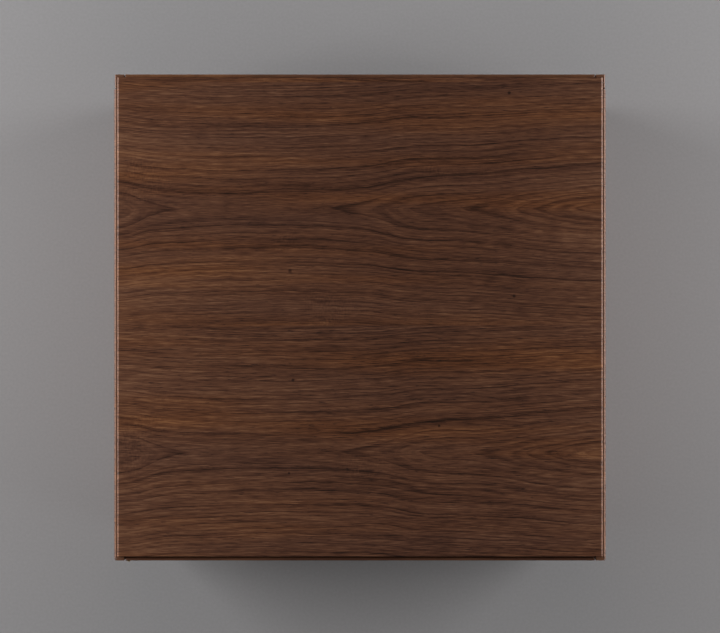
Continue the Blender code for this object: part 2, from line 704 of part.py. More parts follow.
def build():
    """Make the whole unit."""
    clear_scene()
    finish = make_materials()
    left_board, left_front = make_side("left", -1, finish)
    right_board, _ = make_side("right", 1, finish)
    make_top(finish)
    make_back(finish)
    floor_board = make_floor(finish)
    door_panel, door_edge = make_door(finish)
    for label, height in HINGE_HEIGHTS.items():
        make_hinge(label, height, (left_board, left_front), (door_edge, door_panel), finish)
    make_shelf(finish)
    for side_label, sign in (("left", -1), ("right", 1)):
        for end_label, y in zip(("front", "rear"), PIN_ROWS):
            make_shelf_pin(f"{end_label}_{side_label}", sign, y, finish)
        glide_x = sign * (OUTER - GLIDE_INSET)
        for end_label, y in (("front", FLOOR_FRONT + GLIDE_INSET), ("rear", REAR - GLIDE_INSET)):
            make_glide(f"{end_label}_{side_label}", glide_x, y, floor_board, finish)
    make_latch(right_board, finish)
    make_strike(door_panel, finish)


build()
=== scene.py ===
# %% [markdown]
# # A walnut cube storage unit, piece by piece
# The unit is a 400 mm cube on four felt-footed glides. Thin side boards stand a little below the
# top board, a hinged door fills the front, and a loose shelf rests on four pins inside. The working
# model already holds every size, joint and fit. This lesson dresses it: each cell models one real
# piece with Blender's own tools, gives it a finish made of nodes, and says which body it moves with.

# %% Load the working model
import math

import bmesh
import bpy
from mathutils import Matrix, Vector


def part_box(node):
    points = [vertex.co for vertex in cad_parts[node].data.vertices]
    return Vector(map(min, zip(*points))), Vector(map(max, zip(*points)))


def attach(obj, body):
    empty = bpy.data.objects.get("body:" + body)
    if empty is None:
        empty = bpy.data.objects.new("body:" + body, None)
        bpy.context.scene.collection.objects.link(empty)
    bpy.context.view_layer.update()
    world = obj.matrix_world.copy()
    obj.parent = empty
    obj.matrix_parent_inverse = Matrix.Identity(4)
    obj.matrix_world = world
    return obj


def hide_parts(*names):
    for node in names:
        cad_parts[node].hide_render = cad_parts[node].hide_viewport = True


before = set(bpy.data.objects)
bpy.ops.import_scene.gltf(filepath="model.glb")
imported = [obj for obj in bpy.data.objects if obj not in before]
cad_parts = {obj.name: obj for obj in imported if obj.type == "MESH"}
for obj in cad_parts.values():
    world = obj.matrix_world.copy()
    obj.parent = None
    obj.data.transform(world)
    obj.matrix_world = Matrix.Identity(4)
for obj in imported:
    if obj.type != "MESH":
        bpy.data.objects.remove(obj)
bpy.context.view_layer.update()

# %% [markdown]
# Every size comes from the working model, so a piece can't drift away from what it fits. A box is
# two corners of a node. From a few boxes come the lines that a joiner would mark out first: the
# inside and outside of the side boards, the rim, the front and the rear.

# %% Mark out the main lines
side_low, side_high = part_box("right_side_panel")
top_low, top_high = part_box("top_panel")
strip_low, strip_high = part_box("right_front_lipping")
rear_low, rear_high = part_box("right_rear_lipping")
back_low, back_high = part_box("back_panel")
door_low, door_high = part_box("door_panel")
door_top_low, door_top_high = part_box("door_top_lipping")
INNER, OUTER = side_low.x, side_high.x
BASE, RIM = side_low.z, side_high.z
FRONT, REAR = strip_low.y, rear_high.y
HAIRLINE = 0.0001
CAD_GAP = 0.0003
LIP = top_high.x + CAD_GAP
REAR_LIP = top_high.y + CAD_GAP
SEAM = 0.0008
MIDDLE_Y = (FRONT + REAR) / 2
print(f"outside {2 * OUTER:.4f} m wide, {REAR - FRONT:.4f} m deep, rim at {RIM:.4f} m")

# %% [markdown]
# The camera hangs straight above the middle of the top. A long lens from 3 m keeps the box square,
# so none of its four sides shows. The top board fills about two thirds of the frame's width.

# %% Hang the camera
CAMERA_HEIGHT = 3.0
FRAME_SPAN = 0.5858
SENSOR = 36.0
AIM_BEHIND_MIDDLE = 0.0008
camera_data = bpy.data.cameras.new("camera_above")
camera_data.sensor_width = SENSOR
camera_data.lens = SENSOR * CAMERA_HEIGHT / FRAME_SPAN
camera = bpy.data.objects.new("camera_above", camera_data)
camera.location = (0, MIDDLE_Y + AIM_BEHIND_MIDDLE, top_high.z + CAMERA_HEIGHT)
bpy.context.scene.collection.objects.link(camera)
bpy.context.scene.camera = camera
bpy.context.scene.view_settings.view_transform = "Standard"
print(f"lens {camera_data.lens:.1f} mm at {camera.location.z:.2f} m")

# %% [markdown]
# Soft light makes wood look calm and even. Two long, low softboxes stand left and right: they graze
# the top, so the planed arrises along its sides catch a thin light line, and they stand a little
# behind the unit's middle, so a soft shadow lies in front. Two higher ones and a weak low one fill the
# front, and another weak one lights the rear. None hangs straight above, where it would mirror in the
# lacquer and grey it.
# The world adds a little light from all round. The camera doesn't see the softboxes themselves.

# %% Set the lights
# name: (place, size, watts)
SOFTBOXES = {
    "left_softbox": ((-1.22, 0.256, 0.65), (0.96, 0.14), 19.0),
    "right_softbox": ((1.28, 0.238, 0.58), (0.94, 0.15), 18.7),
    "high_left_softbox": ((-2.00, -0.36, 1.35), (1.41, 1.08), 4.5),
    "high_right_softbox": ((2.30, -0.95, 1.30), (0.80, 0.80), 7.5),
    "rear_softbox": ((-0.12, 2.6, 3.0), (0.60, 0.80), 2.5),
    "front_softbox": ((0.00, -2.2, 0.60), (1.20, 0.40), 4.2),
}
AMBIENT = 0.020
LIT_POINT = Vector((0, 0, 0.3))


def hang_softbox(name, place, size, watts):
    """One rectangular softbox, turned to face the unit."""
    data = bpy.data.lights.new(name, "AREA")
    data.shape = "RECTANGLE"
    data.size, data.size_y = size
    data.energy = watts
    light = bpy.data.objects.new(name, data)
    light.location = place
    light.rotation_euler = (LIT_POINT - Vector(place)).to_track_quat("-Z", "Y").to_euler()
    light.visible_camera = False
    bpy.context.scene.collection.objects.link(light)


for name, (place, size, watts) in SOFTBOXES.items():
    hang_softbox(name, place, size, watts)
world = bpy.data.worlds.new("studio")
bpy.context.scene.world = world
world.use_nodes = True
background = world.node_tree.nodes["Background"]
background.inputs["Color"].default_value = (1.0, 0.99, 1.0, 1.0)
background.inputs["Strength"].default_value = AMBIENT
print("lights:", len(SOFTBOXES))

# %% [markdown]
# A finish is a small machine of nodes. Building one by hand takes the same few moves again and
# again, so this helper gives them short names. Every pattern reads Object coordinates: a piece's
# mesh holds its place, so the pattern is fixed to the wood and moves with it.

# %% A helper for building finishes


class Finish:
    """The nodes of one material, with short calls for the kinds used most."""

    def __init__(self, name):
        self.material = bpy.data.materials.new(name)
        self.material.use_nodes = True
        self.tree = self.material.node_tree
        self.shader = self.tree.nodes["Principled BSDF"]
        self.place = self.add("ShaderNodeTexCoord", {}, {}).outputs["Object"]

    def add(self, kind, settings, inputs):
        """A node with its settings, and with each input linked or given a value."""
        node = self.tree.nodes.new(kind)
        for key, value in settings.items():
            setattr(node, key, value)
        for key, value in inputs.items():
            if isinstance(value, bpy.types.NodeSocket):
                self.tree.links.new(value, node.inputs[key])
            else:
                node.inputs[key].default_value = value
        return node

    def math(self, operation, *values):
        return self.add("ShaderNodeMath", {"operation": operation}, dict(enumerate(values))).outputs[0]

    def around_zero(self, noise, size):
        """Noise between 0 and 1 made to swing to both sides of zero."""
        return self.math("MULTIPLY", self.math("SUBTRACT", noise, 0.5), size)

    def dot(self, direction):
        """How far a point lies along a direction."""
        settings = {"operation": "DOT_PRODUCT"}
        node = self.add("ShaderNodeVectorMath", settings, {0: self.place, 1: direction})
        return node.outputs["Value"]

    def combine(self, x, y, z):
        return self.add("ShaderNodeCombineXYZ", {}, {0: x, 1: y, 2: z}).outputs[0]

    def noise(self, vector, scale=1.0, detail=2.0, roughness=0.5):
        inputs = {"Vector": vector, "Scale": scale, "Detail": detail, "Roughness": roughness}
        return self.add("ShaderNodeTexNoise", {}, inputs).outputs[0]

    def spread(self, value, low, high, to_low=0.0, to_high=1.0):
        """Stretch a range of values to another one, held at its ends."""
        inputs = {0: value, 1: low, 2: high, 3: to_low, 4: to_high}
        return self.add("ShaderNodeMapRange", {"interpolation_type": "SMOOTHSTEP"}, inputs).outputs[0]

    def ramp(self, value, stops, interpolation="LINEAR"):
        """Colours or greys along a value from 0 to 1."""
        node = self.add("ShaderNodeValToRGB", {}, {0: value})
        node.color_ramp.interpolation = interpolation
        elements = node.color_ramp.elements
        for place, colour in stops[1:-1]:
            elements.new(place).color = colour
        elements[0].position, elements[0].color = stops[0]
        elements[-1].position, elements[-1].color = stops[-1]
        return node.outputs[0]

    def blend(self, share, first, second, how="MIX"):
        settings = {"data_type": "RGBA", "blend_type": how}
        node = self.add("ShaderNodeMix", settings, {0: share, 6: first, 7: second})
        return node.outputs[2]

    def bump(self, height, distance, strength=1.0):
        inputs = {"Height": height, "Distance": distance, "Strength": strength}
        self.connect("Normal", self.add("ShaderNodeBump", {}, inputs).outputs[0])

    def connect(self, socket, value):
        """Link a value to the shader, or set a number there."""
        if isinstance(value, bpy.types.NodeSocket):
            self.tree.links.new(value, self.shader.inputs[socket])
        else:
            self.shader.inputs[socket].default_value = value


def grey(value):
    return (value, value, value, 1.0)


print("finish helper ready")

# %% [markdown]
# The floor is a plain pale sheet with a fine grain in it, so that it isn't perfectly flat in tone.

# %% Lay the floor
FLOOR_SIZE = 14.0
PAPER_TONES = [(0.3, (0.282, 0.277, 0.281, 1)), (0.7, (0.300, 0.295, 0.299, 1))]
bpy.ops.object.select_all(action="DESELECT")
bpy.ops.mesh.primitive_plane_add(size=FLOOR_SIZE)
studio_floor = bpy.context.object
studio_floor.name = "studio_floor"
paper = Finish("pale_paper")
fine = paper.noise(paper.place, scale=400.0, detail=3.0)
paper.connect("Base Color", paper.ramp(fine, PAPER_TONES))
paper.connect("Roughness", 0.9)
paper.connect("Specular IOR Level", 0.2)
studio_floor.data.materials.append(paper.material)
print("floor:", FLOOR_SIZE, "m")

# %% [markdown]
# Crown-cut walnut veneer shows the tree's rings as nested arches. A knife slices a flat leaf past
# the heart of the log, and a ring is met wherever the leaf lies just that far from the heart. So
# the figure needs one number at each point, its distance from the heart line. It comes from two
# lengths, across the grain and down to the heart, each raised to a power and added. A power of 2
# would be a round log with blunt arches, and a lower one draws each arch to a point, as a tapering
# log does. Where the depth grows, a ring closes and its arch has a tip. Leaves come off the knife
# one after another with nearly the same figure, and they are laid side by side, each slipped a
# little along the grain.
#
# Painting the arches by hand or bending straight stripes would not give rings that crowd together
# towards a leaf's edges, as real ones do. This formula does.

# %% The figure's sizes
LEAF_WIDTH = 0.198
LEAF_SLIP = 0.008
HEART_OFFSET = 0.0042
RING_WIDTH = 0.0031
# how deep the cut runs below the bark side of the heart, along the grain: (place, depth)
CUT_DEPTH = [
    (-0.60, 0.026), (-0.42, 0.041), (-0.28, 0.031), (-0.195, 0.0375), (-0.164, 0.0425),
    (-0.130, 0.0437), (-0.100, 0.0443), (-0.005, 0.0424), (0.050, 0.0356), (0.092, 0.0340),
    (0.145, 0.0286), (0.200, 0.0244), (0.31, 0.024), (0.44, 0.038), (0.60, 0.027),
]
CUT_REACH = 0.60
TAPER_POWER = 1.5
DEPTH_SCALE = 0.06
# rings of dry years are darker: (radius, darkness)
DARK_RINGS = [
    (0.0286, 0.65), (0.0340, 0.7), (0.0489, 0.85), (0.0597, 0.5), (0.0692, 0.75), (0.0897, 0.65),
    (0.111, 0.55),
]
# painted light: the veneer's tone is lifted towards both ends of its run, which makes the top lighter at its
# left and right sides, where the low side softboxes light it: (share of the reach, lift in tone)
PAINTED_END_LIGHT = [
    (0.00, grey(0.10)), (0.33, grey(0.165)), (0.42, grey(0.10)), (0.53, grey(0.0)),
    (0.60, grey(0.05)), (0.67, grey(0.18)), (1.0, grey(0.10)),
]
RING_FROM, RING_TO = 0.022, 0.122
RING_FADE = 0.0018
RING_EDGE = 0.0003
MOST_STOPS = 31
# waves that bend the rings: (rate along the grain, rate across it, lift in the noise, height)
BENDS = [(4.5, 8.0, 1.7, 0.006), (22, 55, 4.1, 0.0035), (130, 260, 7.3, 0.0009)]
# broad colour, streaks and fibres, which follow the rings: (rate along, rate across, lift, strength)
FLOWING = [(2.6, 30, 12.0, 0.36), (5, 160, 15.0, 0.42), (14, 700, 18.0, 0.85)]
RING_WEIGHT, PORE_WEIGHT, KNOT_WEIGHT = -0.66, -0.42, 0.5
BASE_TONE = 0.565

# one place for the wood's colours, from dark late wood to pale early wood
WOOD_TONES = [
    (0.00, (0.0200, 0.0086, 0.0054, 1)),
    (0.25, (0.0620, 0.0242, 0.0130, 1)),
    (0.50, (0.1240, 0.0484, 0.0260, 1)),
    (0.75, (0.1860, 0.0775, 0.0400, 1)),
    (1.00, (0.2880, 0.1340, 0.0690, 1)),
]
# tints that are multiplied in, from cool streaks to warm ones
WARMTH = [(0.30, (0.93, 0.97, 1.06, 1)), (0.52, (1, 1, 1, 1)), (0.72, (1.18, 1.08, 0.86, 1))]
# where a leaf is cut through, the open fibres are lighter
CUT_EDGE = (0.225, 0.104, 0.058, 1)
CUT_SKIN = 0.0006
print(f"leaf {LEAF_WIDTH * 1000:.0f} mm wide, {len(DARK_RINGS)} dark rings")

# %% [markdown]
# The veneer's finish is built from the figure outwards: slow waves that bend the rings, the rings
# themselves, broad streaks of colour, fine fibres, the pores that walnut shows as short dark dashes,
# and a few patches where the fibres ripple. Pin knots are small dark eyes, placed one by one.
# A satin lacquer lies over all of it, so the gloss changes a little with the pores and fibres.

# %% Crown-cut walnut veneer


def ring_chart(finish, radius):
    """Darkness of the strong rings, at a distance from the heart line."""
    span = RING_TO - RING_FROM
    stops = [(0.0, grey(0.0))]
    for ring, darkness in DARK_RINGS:
        edge = (ring - RING_FROM) / span
        stops.append((edge - RING_FADE / span, grey(0.0)))
        stops.append((edge - 0.3 * RING_FADE / span, grey(0.35 * darkness)))
        stops.append((edge, grey(darkness)))
        stops.append((edge + RING_EDGE / span, grey(0.0)))
    stops = sorted(stops, key=lambda stop: stop[0])[:MOST_STOPS] + [(1.0, grey(0.0))]
    share = finish.math("DIVIDE", finish.math("SUBTRACT", radius, RING_FROM), span)
    return finish.ramp(share, stops)


def cut_depth(finish, run):
    """Depth of the cut along the grain, read from a smooth curve."""
    share = finish.math("MULTIPLY_ADD", run, 0.5 / CUT_REACH, 0.5)
    node = finish.add("ShaderNodeFloatCurve", {}, {1: share})
    curve = node.mapping.curves[0]
    points = [((place / CUT_REACH + 1) / 2, depth / DEPTH_SCALE) for place, depth in CUT_DEPTH]
    for x, y in points[1:-1]:
        curve.points.new(x, y)
    curve.points[0].location = points[0]
    curve.points[len(points) - 1].location = points[-1]
    node.mapping.update()
    return finish.math("MULTIPLY", node.outputs[0], DEPTH_SCALE)


def walnut_veneer(name, along, across, joint, start=0.0, seed=0.0, knots=(), cut_at=None):
    """Crown-cut walnut. joint is where two leaves meet, and cut_at is the height of a cut top edge."""
    f = Finish(name)
    run = f.math("ADD", f.dot(along), start)
    side = f.math("SUBTRACT", f.dot(across), joint)
    leaf = f.math("FLOOR", f.math("DIVIDE", side, LEAF_WIDTH))
    run = f.math("MULTIPLY_ADD", leaf, LEAF_SLIP, run)
    half = f.math("MULTIPLY", f.math("ADD", leaf, 0.5), LEAF_WIDTH)
    off = f.math("ADD", f.math("SUBTRACT", side, half), HEART_OFFSET)
    layer = f.math("MULTIPLY_ADD", leaf, 0.37, seed)

    def grain(per_metre_along, per_metre_across, detail=2.0, lift=0.0, over=off):
        """Noise drawn out along the grain, between 0 and 1."""
        x = f.math("MULTIPLY", run, per_metre_along)
        y = f.math("MULTIPLY", over, per_metre_across)
        z = f.math("ADD", layer, lift)
        return f.noise(f.combine(x, y, z), detail=detail)

    # rings: their distance from the heart, the faint ring of each year, and the strong ones
    bent = off
    for rate_along, rate_across, lift, height in BENDS:
        bent = f.math("ADD", bent, f.around_zero(grain(rate_along, rate_across, lift=lift), height))
    across_part = f.math("POWER", f.math("ABSOLUTE", bent), TAPER_POWER)
    depth_part = f.math("POWER", cut_depth(f, run), TAPER_POWER)
    radius = f.math("POWER", f.math("ADD", across_part, depth_part), 1 / TAPER_POWER)
    uneven = f.noise(f.combine(f.math("MULTIPLY", radius, 95.0), seed, 0.0), detail=1.0)
    count = f.math("ADD", f.math("DIVIDE", radius, RING_WIDTH), f.around_zero(uneven, 3.2))
    phase = f.math("FRACT", count)
    year = f.math("FLOOR", count)
    luck = f.add("ShaderNodeTexWhiteNoise", {"noise_dimensions": "1D"}, {"W": year}).outputs[0]
    rise = f.math("POWER", phase, 5.0)
    faint = f.math("MULTIPLY", rise, f.spread(phase, 0.90, 1.0, 1.0, 0.0))
    faint = f.math("MULTIPLY", faint, f.math("MULTIPLY_ADD", luck, 0.60, 0.30))
    patchy = f.spread(grain(16, 60, lift=9.9), 0.30, 0.62, 0.70, 1.0)
    strong = f.math("MULTIPLY", ring_chart(f, radius), patchy)
    ring = f.math("MAXIMUM", faint, strong)

    # streaks and fibres follow the rings, and the finest threads, pores and ripples run straight
    flow = f.math("MULTIPLY_ADD", off, 0.12, radius)
    layers = [f.around_zero(grain(rate_along, rate_across, 3.0, lift, flow), strength)
              for rate_along, rate_across, lift, strength in FLOWING]
    fibre = layers[-1]
    layers.append(f.around_zero(grain(80, 1600, lift=21.0), 1.30))
    pore = f.spread(grain(150, 1500, detail=1.0, lift=24.0), 0.60, 0.74)
    pore = f.math("MULTIPLY", pore, f.spread(phase, 0.0, 0.55, 1.0, 0.35))
    ripple = f.around_zero(grain(620, 330, detail=1.0, lift=30.0), 0.45)
    layers.append(f.math("MULTIPLY", ripple, f.spread(grain(13, 17, lift=27.0), 0.60, 0.72)))

    # painted light: a lift in tone towards both ends of the run, lighter at the left and right sides of the
    # top
    tone = f.ramp(f.math("MULTIPLY_ADD", run, 0.5 / CUT_REACH, 0.5), PAINTED_END_LIGHT)
    tone = f.math("ADD", tone, BASE_TONE)
    for part in layers:
        tone = f.math("ADD", tone, part)
    tone = f.math("MULTIPLY_ADD", ring, RING_WEIGHT, tone)
    tone = f.math("MULTIPLY_ADD", pore, PORE_WEIGHT, tone)
    for place, reach in knots:
        gap = f.add("ShaderNodeVectorMath", {"operation": "DISTANCE"}, {0: f.place, 1: place})
        eye = f.spread(gap.outputs["Value"], 0.2 * reach, reach, KNOT_WEIGHT, 0.0)
        tone = f.math("SUBTRACT", tone, eye)
    colour = f.ramp(tone, WOOD_TONES)

    if cut_at is not None:
        skin = f.spread(f.dot((0, 0, 1)), cut_at - CUT_SKIN, cut_at - 0.3 * CUT_SKIN)
        colour = f.blend(f.math("MULTIPLY", skin, 0.6), colour, CUT_EDGE)

    # warm gold in some streaks, a cool violet grey in others
    tint = f.ramp(grain(3.2, 46, lift=33.0), WARMTH)
    f.connect("Base Color", f.blend(1.0, colour, tint, "MULTIPLY"))
    matt = f.math("MULTIPLY_ADD", pore, 0.18, f.around_zero(fibre, -0.10))
    f.connect("Roughness", f.math("ADD", 0.40, matt))
    f.connect("Specular IOR Level", 0.30)
    f.bump(f.math("MULTIPLY_ADD", pore, -1.0, fibre), 0.00006, 0.5)
    return f.material


TOP_JOINT = -0.0044
# small dark eyes in the top: (x, y, radius)
PIN_KNOTS = [
    (-0.057, 0.040, 0.0022), (0.0644, -0.0861, 0.0016), (-0.0545, -0.0487, 0.0018),
    (-0.0577, -0.1244, 0.0014), (0.1214, 0.185, 0.0018), (0.1254, 0.0196, 0.0018),
]
top_knots = [((x, y, top_high.z), reach) for x, y, reach in PIN_KNOTS]
X, Y, Z = Vector((1, 0, 0)), Vector((0, 1, 0)), Vector((0, 0, 1))
veneers = {
    "top": walnut_veneer("walnut_top", X, Y, TOP_JOINT, knots=top_knots),
    "side": walnut_veneer("walnut_side", Z, Y, TOP_JOINT, start=-0.22, seed=3.0, cut_at=RIM),
    "back": walnut_veneer("walnut_back", X, Z, 0.108, start=0.06, seed=6.0, cut_at=RIM),
    "bottom": walnut_veneer("walnut_bottom", X, Y, 0.03, start=-0.09, seed=8.0),
    "shelf": walnut_veneer("walnut_shelf", X, Y, 0.02, start=0.13, seed=10.0),
    "door": walnut_veneer("walnut_door", X, Z, 0.198, start=-0.03, seed=13.0),
}
# each finish goes with the material slot of the nodes that it dresses
finishes = {name: ("walnut_veneer", material) for name, material in veneers.items()}
print("veneers:", sorted(veneers))

# %% [markdown]
# The thin strips round the edges are solid walnut, with the grain along the strip. Solid wood is
# cut through at its ends, and there the open fibres soak up more finish and show a lighter orange.
# The pattern is worked out in all three directions, so the ends show the same fibres as dots.

# %% Solid walnut
END_SKIN = 0.0006
# broad colour, streaks and fibres: (rate along, rate across, lift in the noise, detail, strength)
SOLID_LAYERS = [(4, 60, 9.0, 2.0, 0.7), (9, 340, 15.0, 3.0, 0.8), (45, 1100, 21.0, 2.0, 0.6)]


def walnut_solid(name, along, across, through, ends=None, seed=0.0):
    """Straight-grained walnut. ends is where the strip starts and stops along its grain."""
    f = Finish(name)
    run, side, deep = f.dot(along), f.dot(across), f.dot(through)

    def grain(per_metre_along, per_metre_across, lift, detail=2.0):
        x = f.math("MULTIPLY_ADD", run, per_metre_along, seed + lift)
        y = f.math("MULTIPLY", side, per_metre_across)
        z = f.math("MULTIPLY", deep, per_metre_across)
        return f.noise(f.combine(x, y, z), detail=detail)

    pore = f.spread(grain(150, 1500, 3.0, 1.0), 0.60, 0.74)
    tone = f.math("MULTIPLY_ADD", pore, -0.28, 0.60)
    for rate_along, rate_across, lift, detail, strength in SOLID_LAYERS:
        layer = grain(rate_along, rate_across, lift, detail)
        tone = f.math("ADD", tone, f.around_zero(layer, strength))
    colour = f.ramp(tone, WOOD_TONES)
    if ends:
        middle, half = (ends[0] + ends[1]) / 2, (ends[1] - ends[0]) / 2
        reach = f.math("ABSOLUTE", f.math("SUBTRACT", run, middle))
        cap = f.spread(reach, half - END_SKIN, half - 0.3 * END_SKIN)
        colour = f.blend(f.math("MULTIPLY", cap, 0.75), colour, CUT_EDGE)
    f.connect("Base Color", colour)
    f.connect("Roughness", f.math("MULTIPLY_ADD", pore, 0.18, 0.38))
    f.connect("Specular IOR Level", 0.4)
    f.bump(tone, 0.00005, 0.5)
    return f.material


door_top_ends = (door_top_low.x, door_top_high.x)
strips = {
    "side_strip": walnut_solid("walnut_upright_strip", Z, X, Y, ends=(BASE, RIM)),
    "rear_strip": walnut_solid("walnut_rear_strip", Z, X, Y, ends=(BASE, RIM), seed=5.0),
    "level_strip": walnut_solid("walnut_level_strip", X, Y, Z, seed=11.0),
    "door_top_strip": walnut_solid("walnut_door_top_strip", X, Y, Z, ends=door_top_ends, seed=17.0),
    "door_side_strip": walnut_solid("walnut_door_side_strip", Z, X, Y, seed=23.0),
}
finishes.update({name: ("walnut_solid", material) for name, material in strips.items()})
print("strips:", sorted(strips))

# %% [markdown]
# The metals and plastics are small but each has its own surface. Satin brass shows faint brushing
# along the leaf and darker, rougher patches where hands have touched it. Nickel is smoother and
# cooler. Zinc steel has a crystal mottle. Moulded nylon has a fine spark-eroded texture, and felt
# is a mat of short fibres of slightly different greys.

# %% Metals, plastic and felt
BRUSH_ALONG, BRUSH_ACROSS = 90, 5200
ZINC_TONES = [(0.0, (0.46, 0.47, 0.49, 1)), (1.0, (0.64, 0.65, 0.66, 1))]
NYLON_TONES = [(0.35, (0.016, 0.016, 0.018, 1)), (0.65, (0.028, 0.027, 0.029, 1))]
FELT_TONES = [(0.35, (0.060, 0.050, 0.044, 1)), (0.62, (0.150, 0.130, 0.115, 1))]


def brushed_metal(name, colour, dull, along, roughness):
    """A metal with brushing lines along one direction and faint cloudy wear."""
    f = Finish(name)
    run = f.math("MULTIPLY", f.dot(along), BRUSH_ALONG)
    side = f.math("MULTIPLY", f.dot(along.yzx), BRUSH_ACROSS)
    deep = f.math("MULTIPLY", f.dot(along.zxy), BRUSH_ACROSS)
    lines = f.noise(f.combine(run, side, deep))
    wear = f.spread(f.noise(f.place, scale=160.0, detail=3.0), 0.42, 0.66)
    f.connect("Base Color", f.blend(f.math("MULTIPLY", wear, 0.6), colour, dull))
    f.connect("Metallic", 1.0)
    worn = f.math("MULTIPLY_ADD", wear, 0.14, roughness)
    f.connect("Roughness", f.math("MULTIPLY_ADD", lines, 0.16, worn))
    f.bump(lines, 0.00002, 0.6)
    return f.material


def zinc_steel(name):
    """Bright zinc plate with its pale crystal mottle."""
    f = Finish(name)
    cells = f.add("ShaderNodeTexVoronoi", {}, {"Vector": f.place, "Scale": 900.0}).outputs["Color"]
    mottle = f.add("ShaderNodeSeparateColor", {}, {0: cells}).outputs[0]
    f.connect("Base Color", f.ramp(mottle, ZINC_TONES))
    f.connect("Metallic", 1.0)
    f.connect("Roughness", f.math("MULTIPLY_ADD", mottle, 0.12, 0.28))
    f.bump(mottle, 0.00001, 0.5)
    return f.material


def moulded_nylon(name):
    """Black nylon with a fine matt texture."""
    f = Finish(name)
    grains = f.noise(f.place, scale=2600.0, detail=3.0)
    f.connect("Base Color", f.ramp(f.noise(f.place, scale=110.0), NYLON_TONES))
    f.connect("Roughness", f.math("MULTIPLY_ADD", grains, 0.3, 0.36))
    f.bump(grains, 0.00004, 0.7)
    return f.material


def wool_felt(name):
    """Grey-brown pressed felt."""
    f = Finish(name)
    hairs = f.noise(f.place, scale=1500.0, detail=4.0, roughness=0.7)
    tufts = f.noise(f.place, scale=330.0)
    mixed = f.math("MULTIPLY_ADD", tufts, 0.5, f.math("MULTIPLY", hairs, 0.5))
    f.connect("Base Color", f.ramp(mixed, FELT_TONES))
    f.connect("Roughness", 0.95)
    f.connect("Sheen Weight", 0.4)
    f.bump(hairs, 0.0003, 0.9)
    return f.material


brass = brushed_metal("satin_brass", (0.62, 0.43, 0.17, 1), (0.40, 0.26, 0.11, 1), Z, 0.22)
nickel = brushed_metal("satin_nickel", (0.62, 0.59, 0.54, 1), (0.45, 0.43, 0.40, 1), X, 0.20)
finishes.update({
    "brass": ("hinge_brass", brass),
    "nickel": ("nickel", nickel),
    "zinc": ("zinc_steel", zinc_steel("zinc_steel")),
    "nylon": ("black_plastic", moulded_nylon("moulded_nylon")),
    "felt": ("felt", wool_felt("wool_felt")),
})
print("finishes:", sorted(finishes))

# %% [markdown]
# The pieces are modelled as by hand: a primitive is set down at its size and place, then shaped in
# edit mode. Without a window nobody can click on an edge, so edges, faces and corners are chosen
# by where they lie. These short helpers do the choosing and the few moves that every piece needs.

# %% Modelling helpers
NEAR = 0.00001
SHARP_ANGLE = 35
EASED = 0.00025
SANDED = 0.0002
PARALLEL = 0.999
WELD_REACH = 0.000001


def near(value, wanted):
    return abs(value - wanted) < NEAR


def hold(obj):
    """Leave edit mode and select only this object."""
    if bpy.context.object and bpy.context.object.mode == "EDIT":
        bpy.ops.object.mode_set(mode="OBJECT")
    bpy.ops.object.select_all(action="DESELECT")
    obj.select_set(True)
    bpy.context.view_layer.objects.active = obj


def settle(obj):
    """Put the object's place, turn and size into its mesh."""
    hold(obj)
    bpy.ops.object.transform_apply(location=True, rotation=True, scale=True)
    return obj


def named(name):
    """Name and settle the primitive that was added last."""
    obj = bpy.context.object
    obj.name = obj.data.name = name
    return settle(obj)


def block(name, low, high):
    """A rectangular start between two corners."""
    low, high = Vector(low), Vector(high)
    bpy.ops.object.select_all(action="DESELECT")
    bpy.ops.mesh.primitive_cube_add(size=1, location=(low + high) / 2, scale=high - low)
    return named(name)


def round_bar(name, radius, start, end, sides=32):
    """A round start between two points."""
    start, end = Vector(start), Vector(end)
    bpy.ops.object.select_all(action="DESELECT")
    turn = (end - start).to_track_quat("Z", "Y").to_euler()
    bpy.ops.mesh.primitive_cylinder_add(vertices=sides, radius=radius, depth=(end - start).length,
                                        location=(start + end) / 2, rotation=turn)
    return named(name)


def choose(obj, kind, wanted):
    """Go into edit mode with only the wanted corners, edges or faces selected."""
    hold(obj)
    bpy.ops.object.mode_set(mode="EDIT")
    bpy.ops.mesh.select_mode(type=kind)
    bpy.ops.mesh.select_all(action="DESELECT")
    shape = bmesh.from_edit_mesh(obj.data)
    parts = {"VERT": shape.verts, "EDGE": shape.edges, "FACE": shape.faces}[kind]
    for part in parts:
        if wanted(part):
            part.select_set(True)
    shape.select_flush_mode()
    bmesh.update_edit_mesh(obj.data)


def back_to_object():
    bpy.ops.object.mode_set(mode="OBJECT")


def move_chosen(step):
    """Move what is selected, then leave edit mode."""
    bpy.ops.transform.translate(value=step)
    back_to_object()


def cut_line(obj, place, normal):
    """Cut a line of new edges round the whole piece."""
    choose(obj, "FACE", lambda face: True)
    bpy.ops.mesh.bisect(plane_co=place, plane_no=normal)
    back_to_object()


def face_outwards(obj):
    choose(obj, "FACE", lambda face: True)
    bpy.ops.mesh.normals_make_consistent(inside=False)
    back_to_object()


def both(edge, test):
    """True when a test holds at both ends of an edge."""
    return all(test(vert.co) for vert in edge.verts)


def runs(edge, direction):
    """True when an edge is parallel to a direction."""
    line = (edge.verts[1].co - edge.verts[0].co).normalized()
    return abs(line.dot(direction)) > PARALLEL


def round_edges(obj, width, test, segments=3, along=None):
    """Round the edges with both ends in the test that run along a direction, if one is given."""
    choose(obj, "EDGE", lambda edge: both(edge, test) and (along is None or runs(edge, along)))
    bpy.ops.mesh.bevel(offset=width, segments=segments, profile=0.5, affect="EDGES")
    back_to_object()


def planed(obj, width, test, along=Y):
    """Plane the chosen edges to a narrow 45 degree face."""
    round_edges(obj, width, test, 1, along)


def use_modifier(obj, name, kind, **settings):
    """Add a modifier and apply it."""
    hold(obj)
    modifier = obj.modifiers.new(name, kind)
    for key, value in settings.items():
        setattr(modifier, key, value)
    bpy.ops.object.modifier_apply(modifier=name)


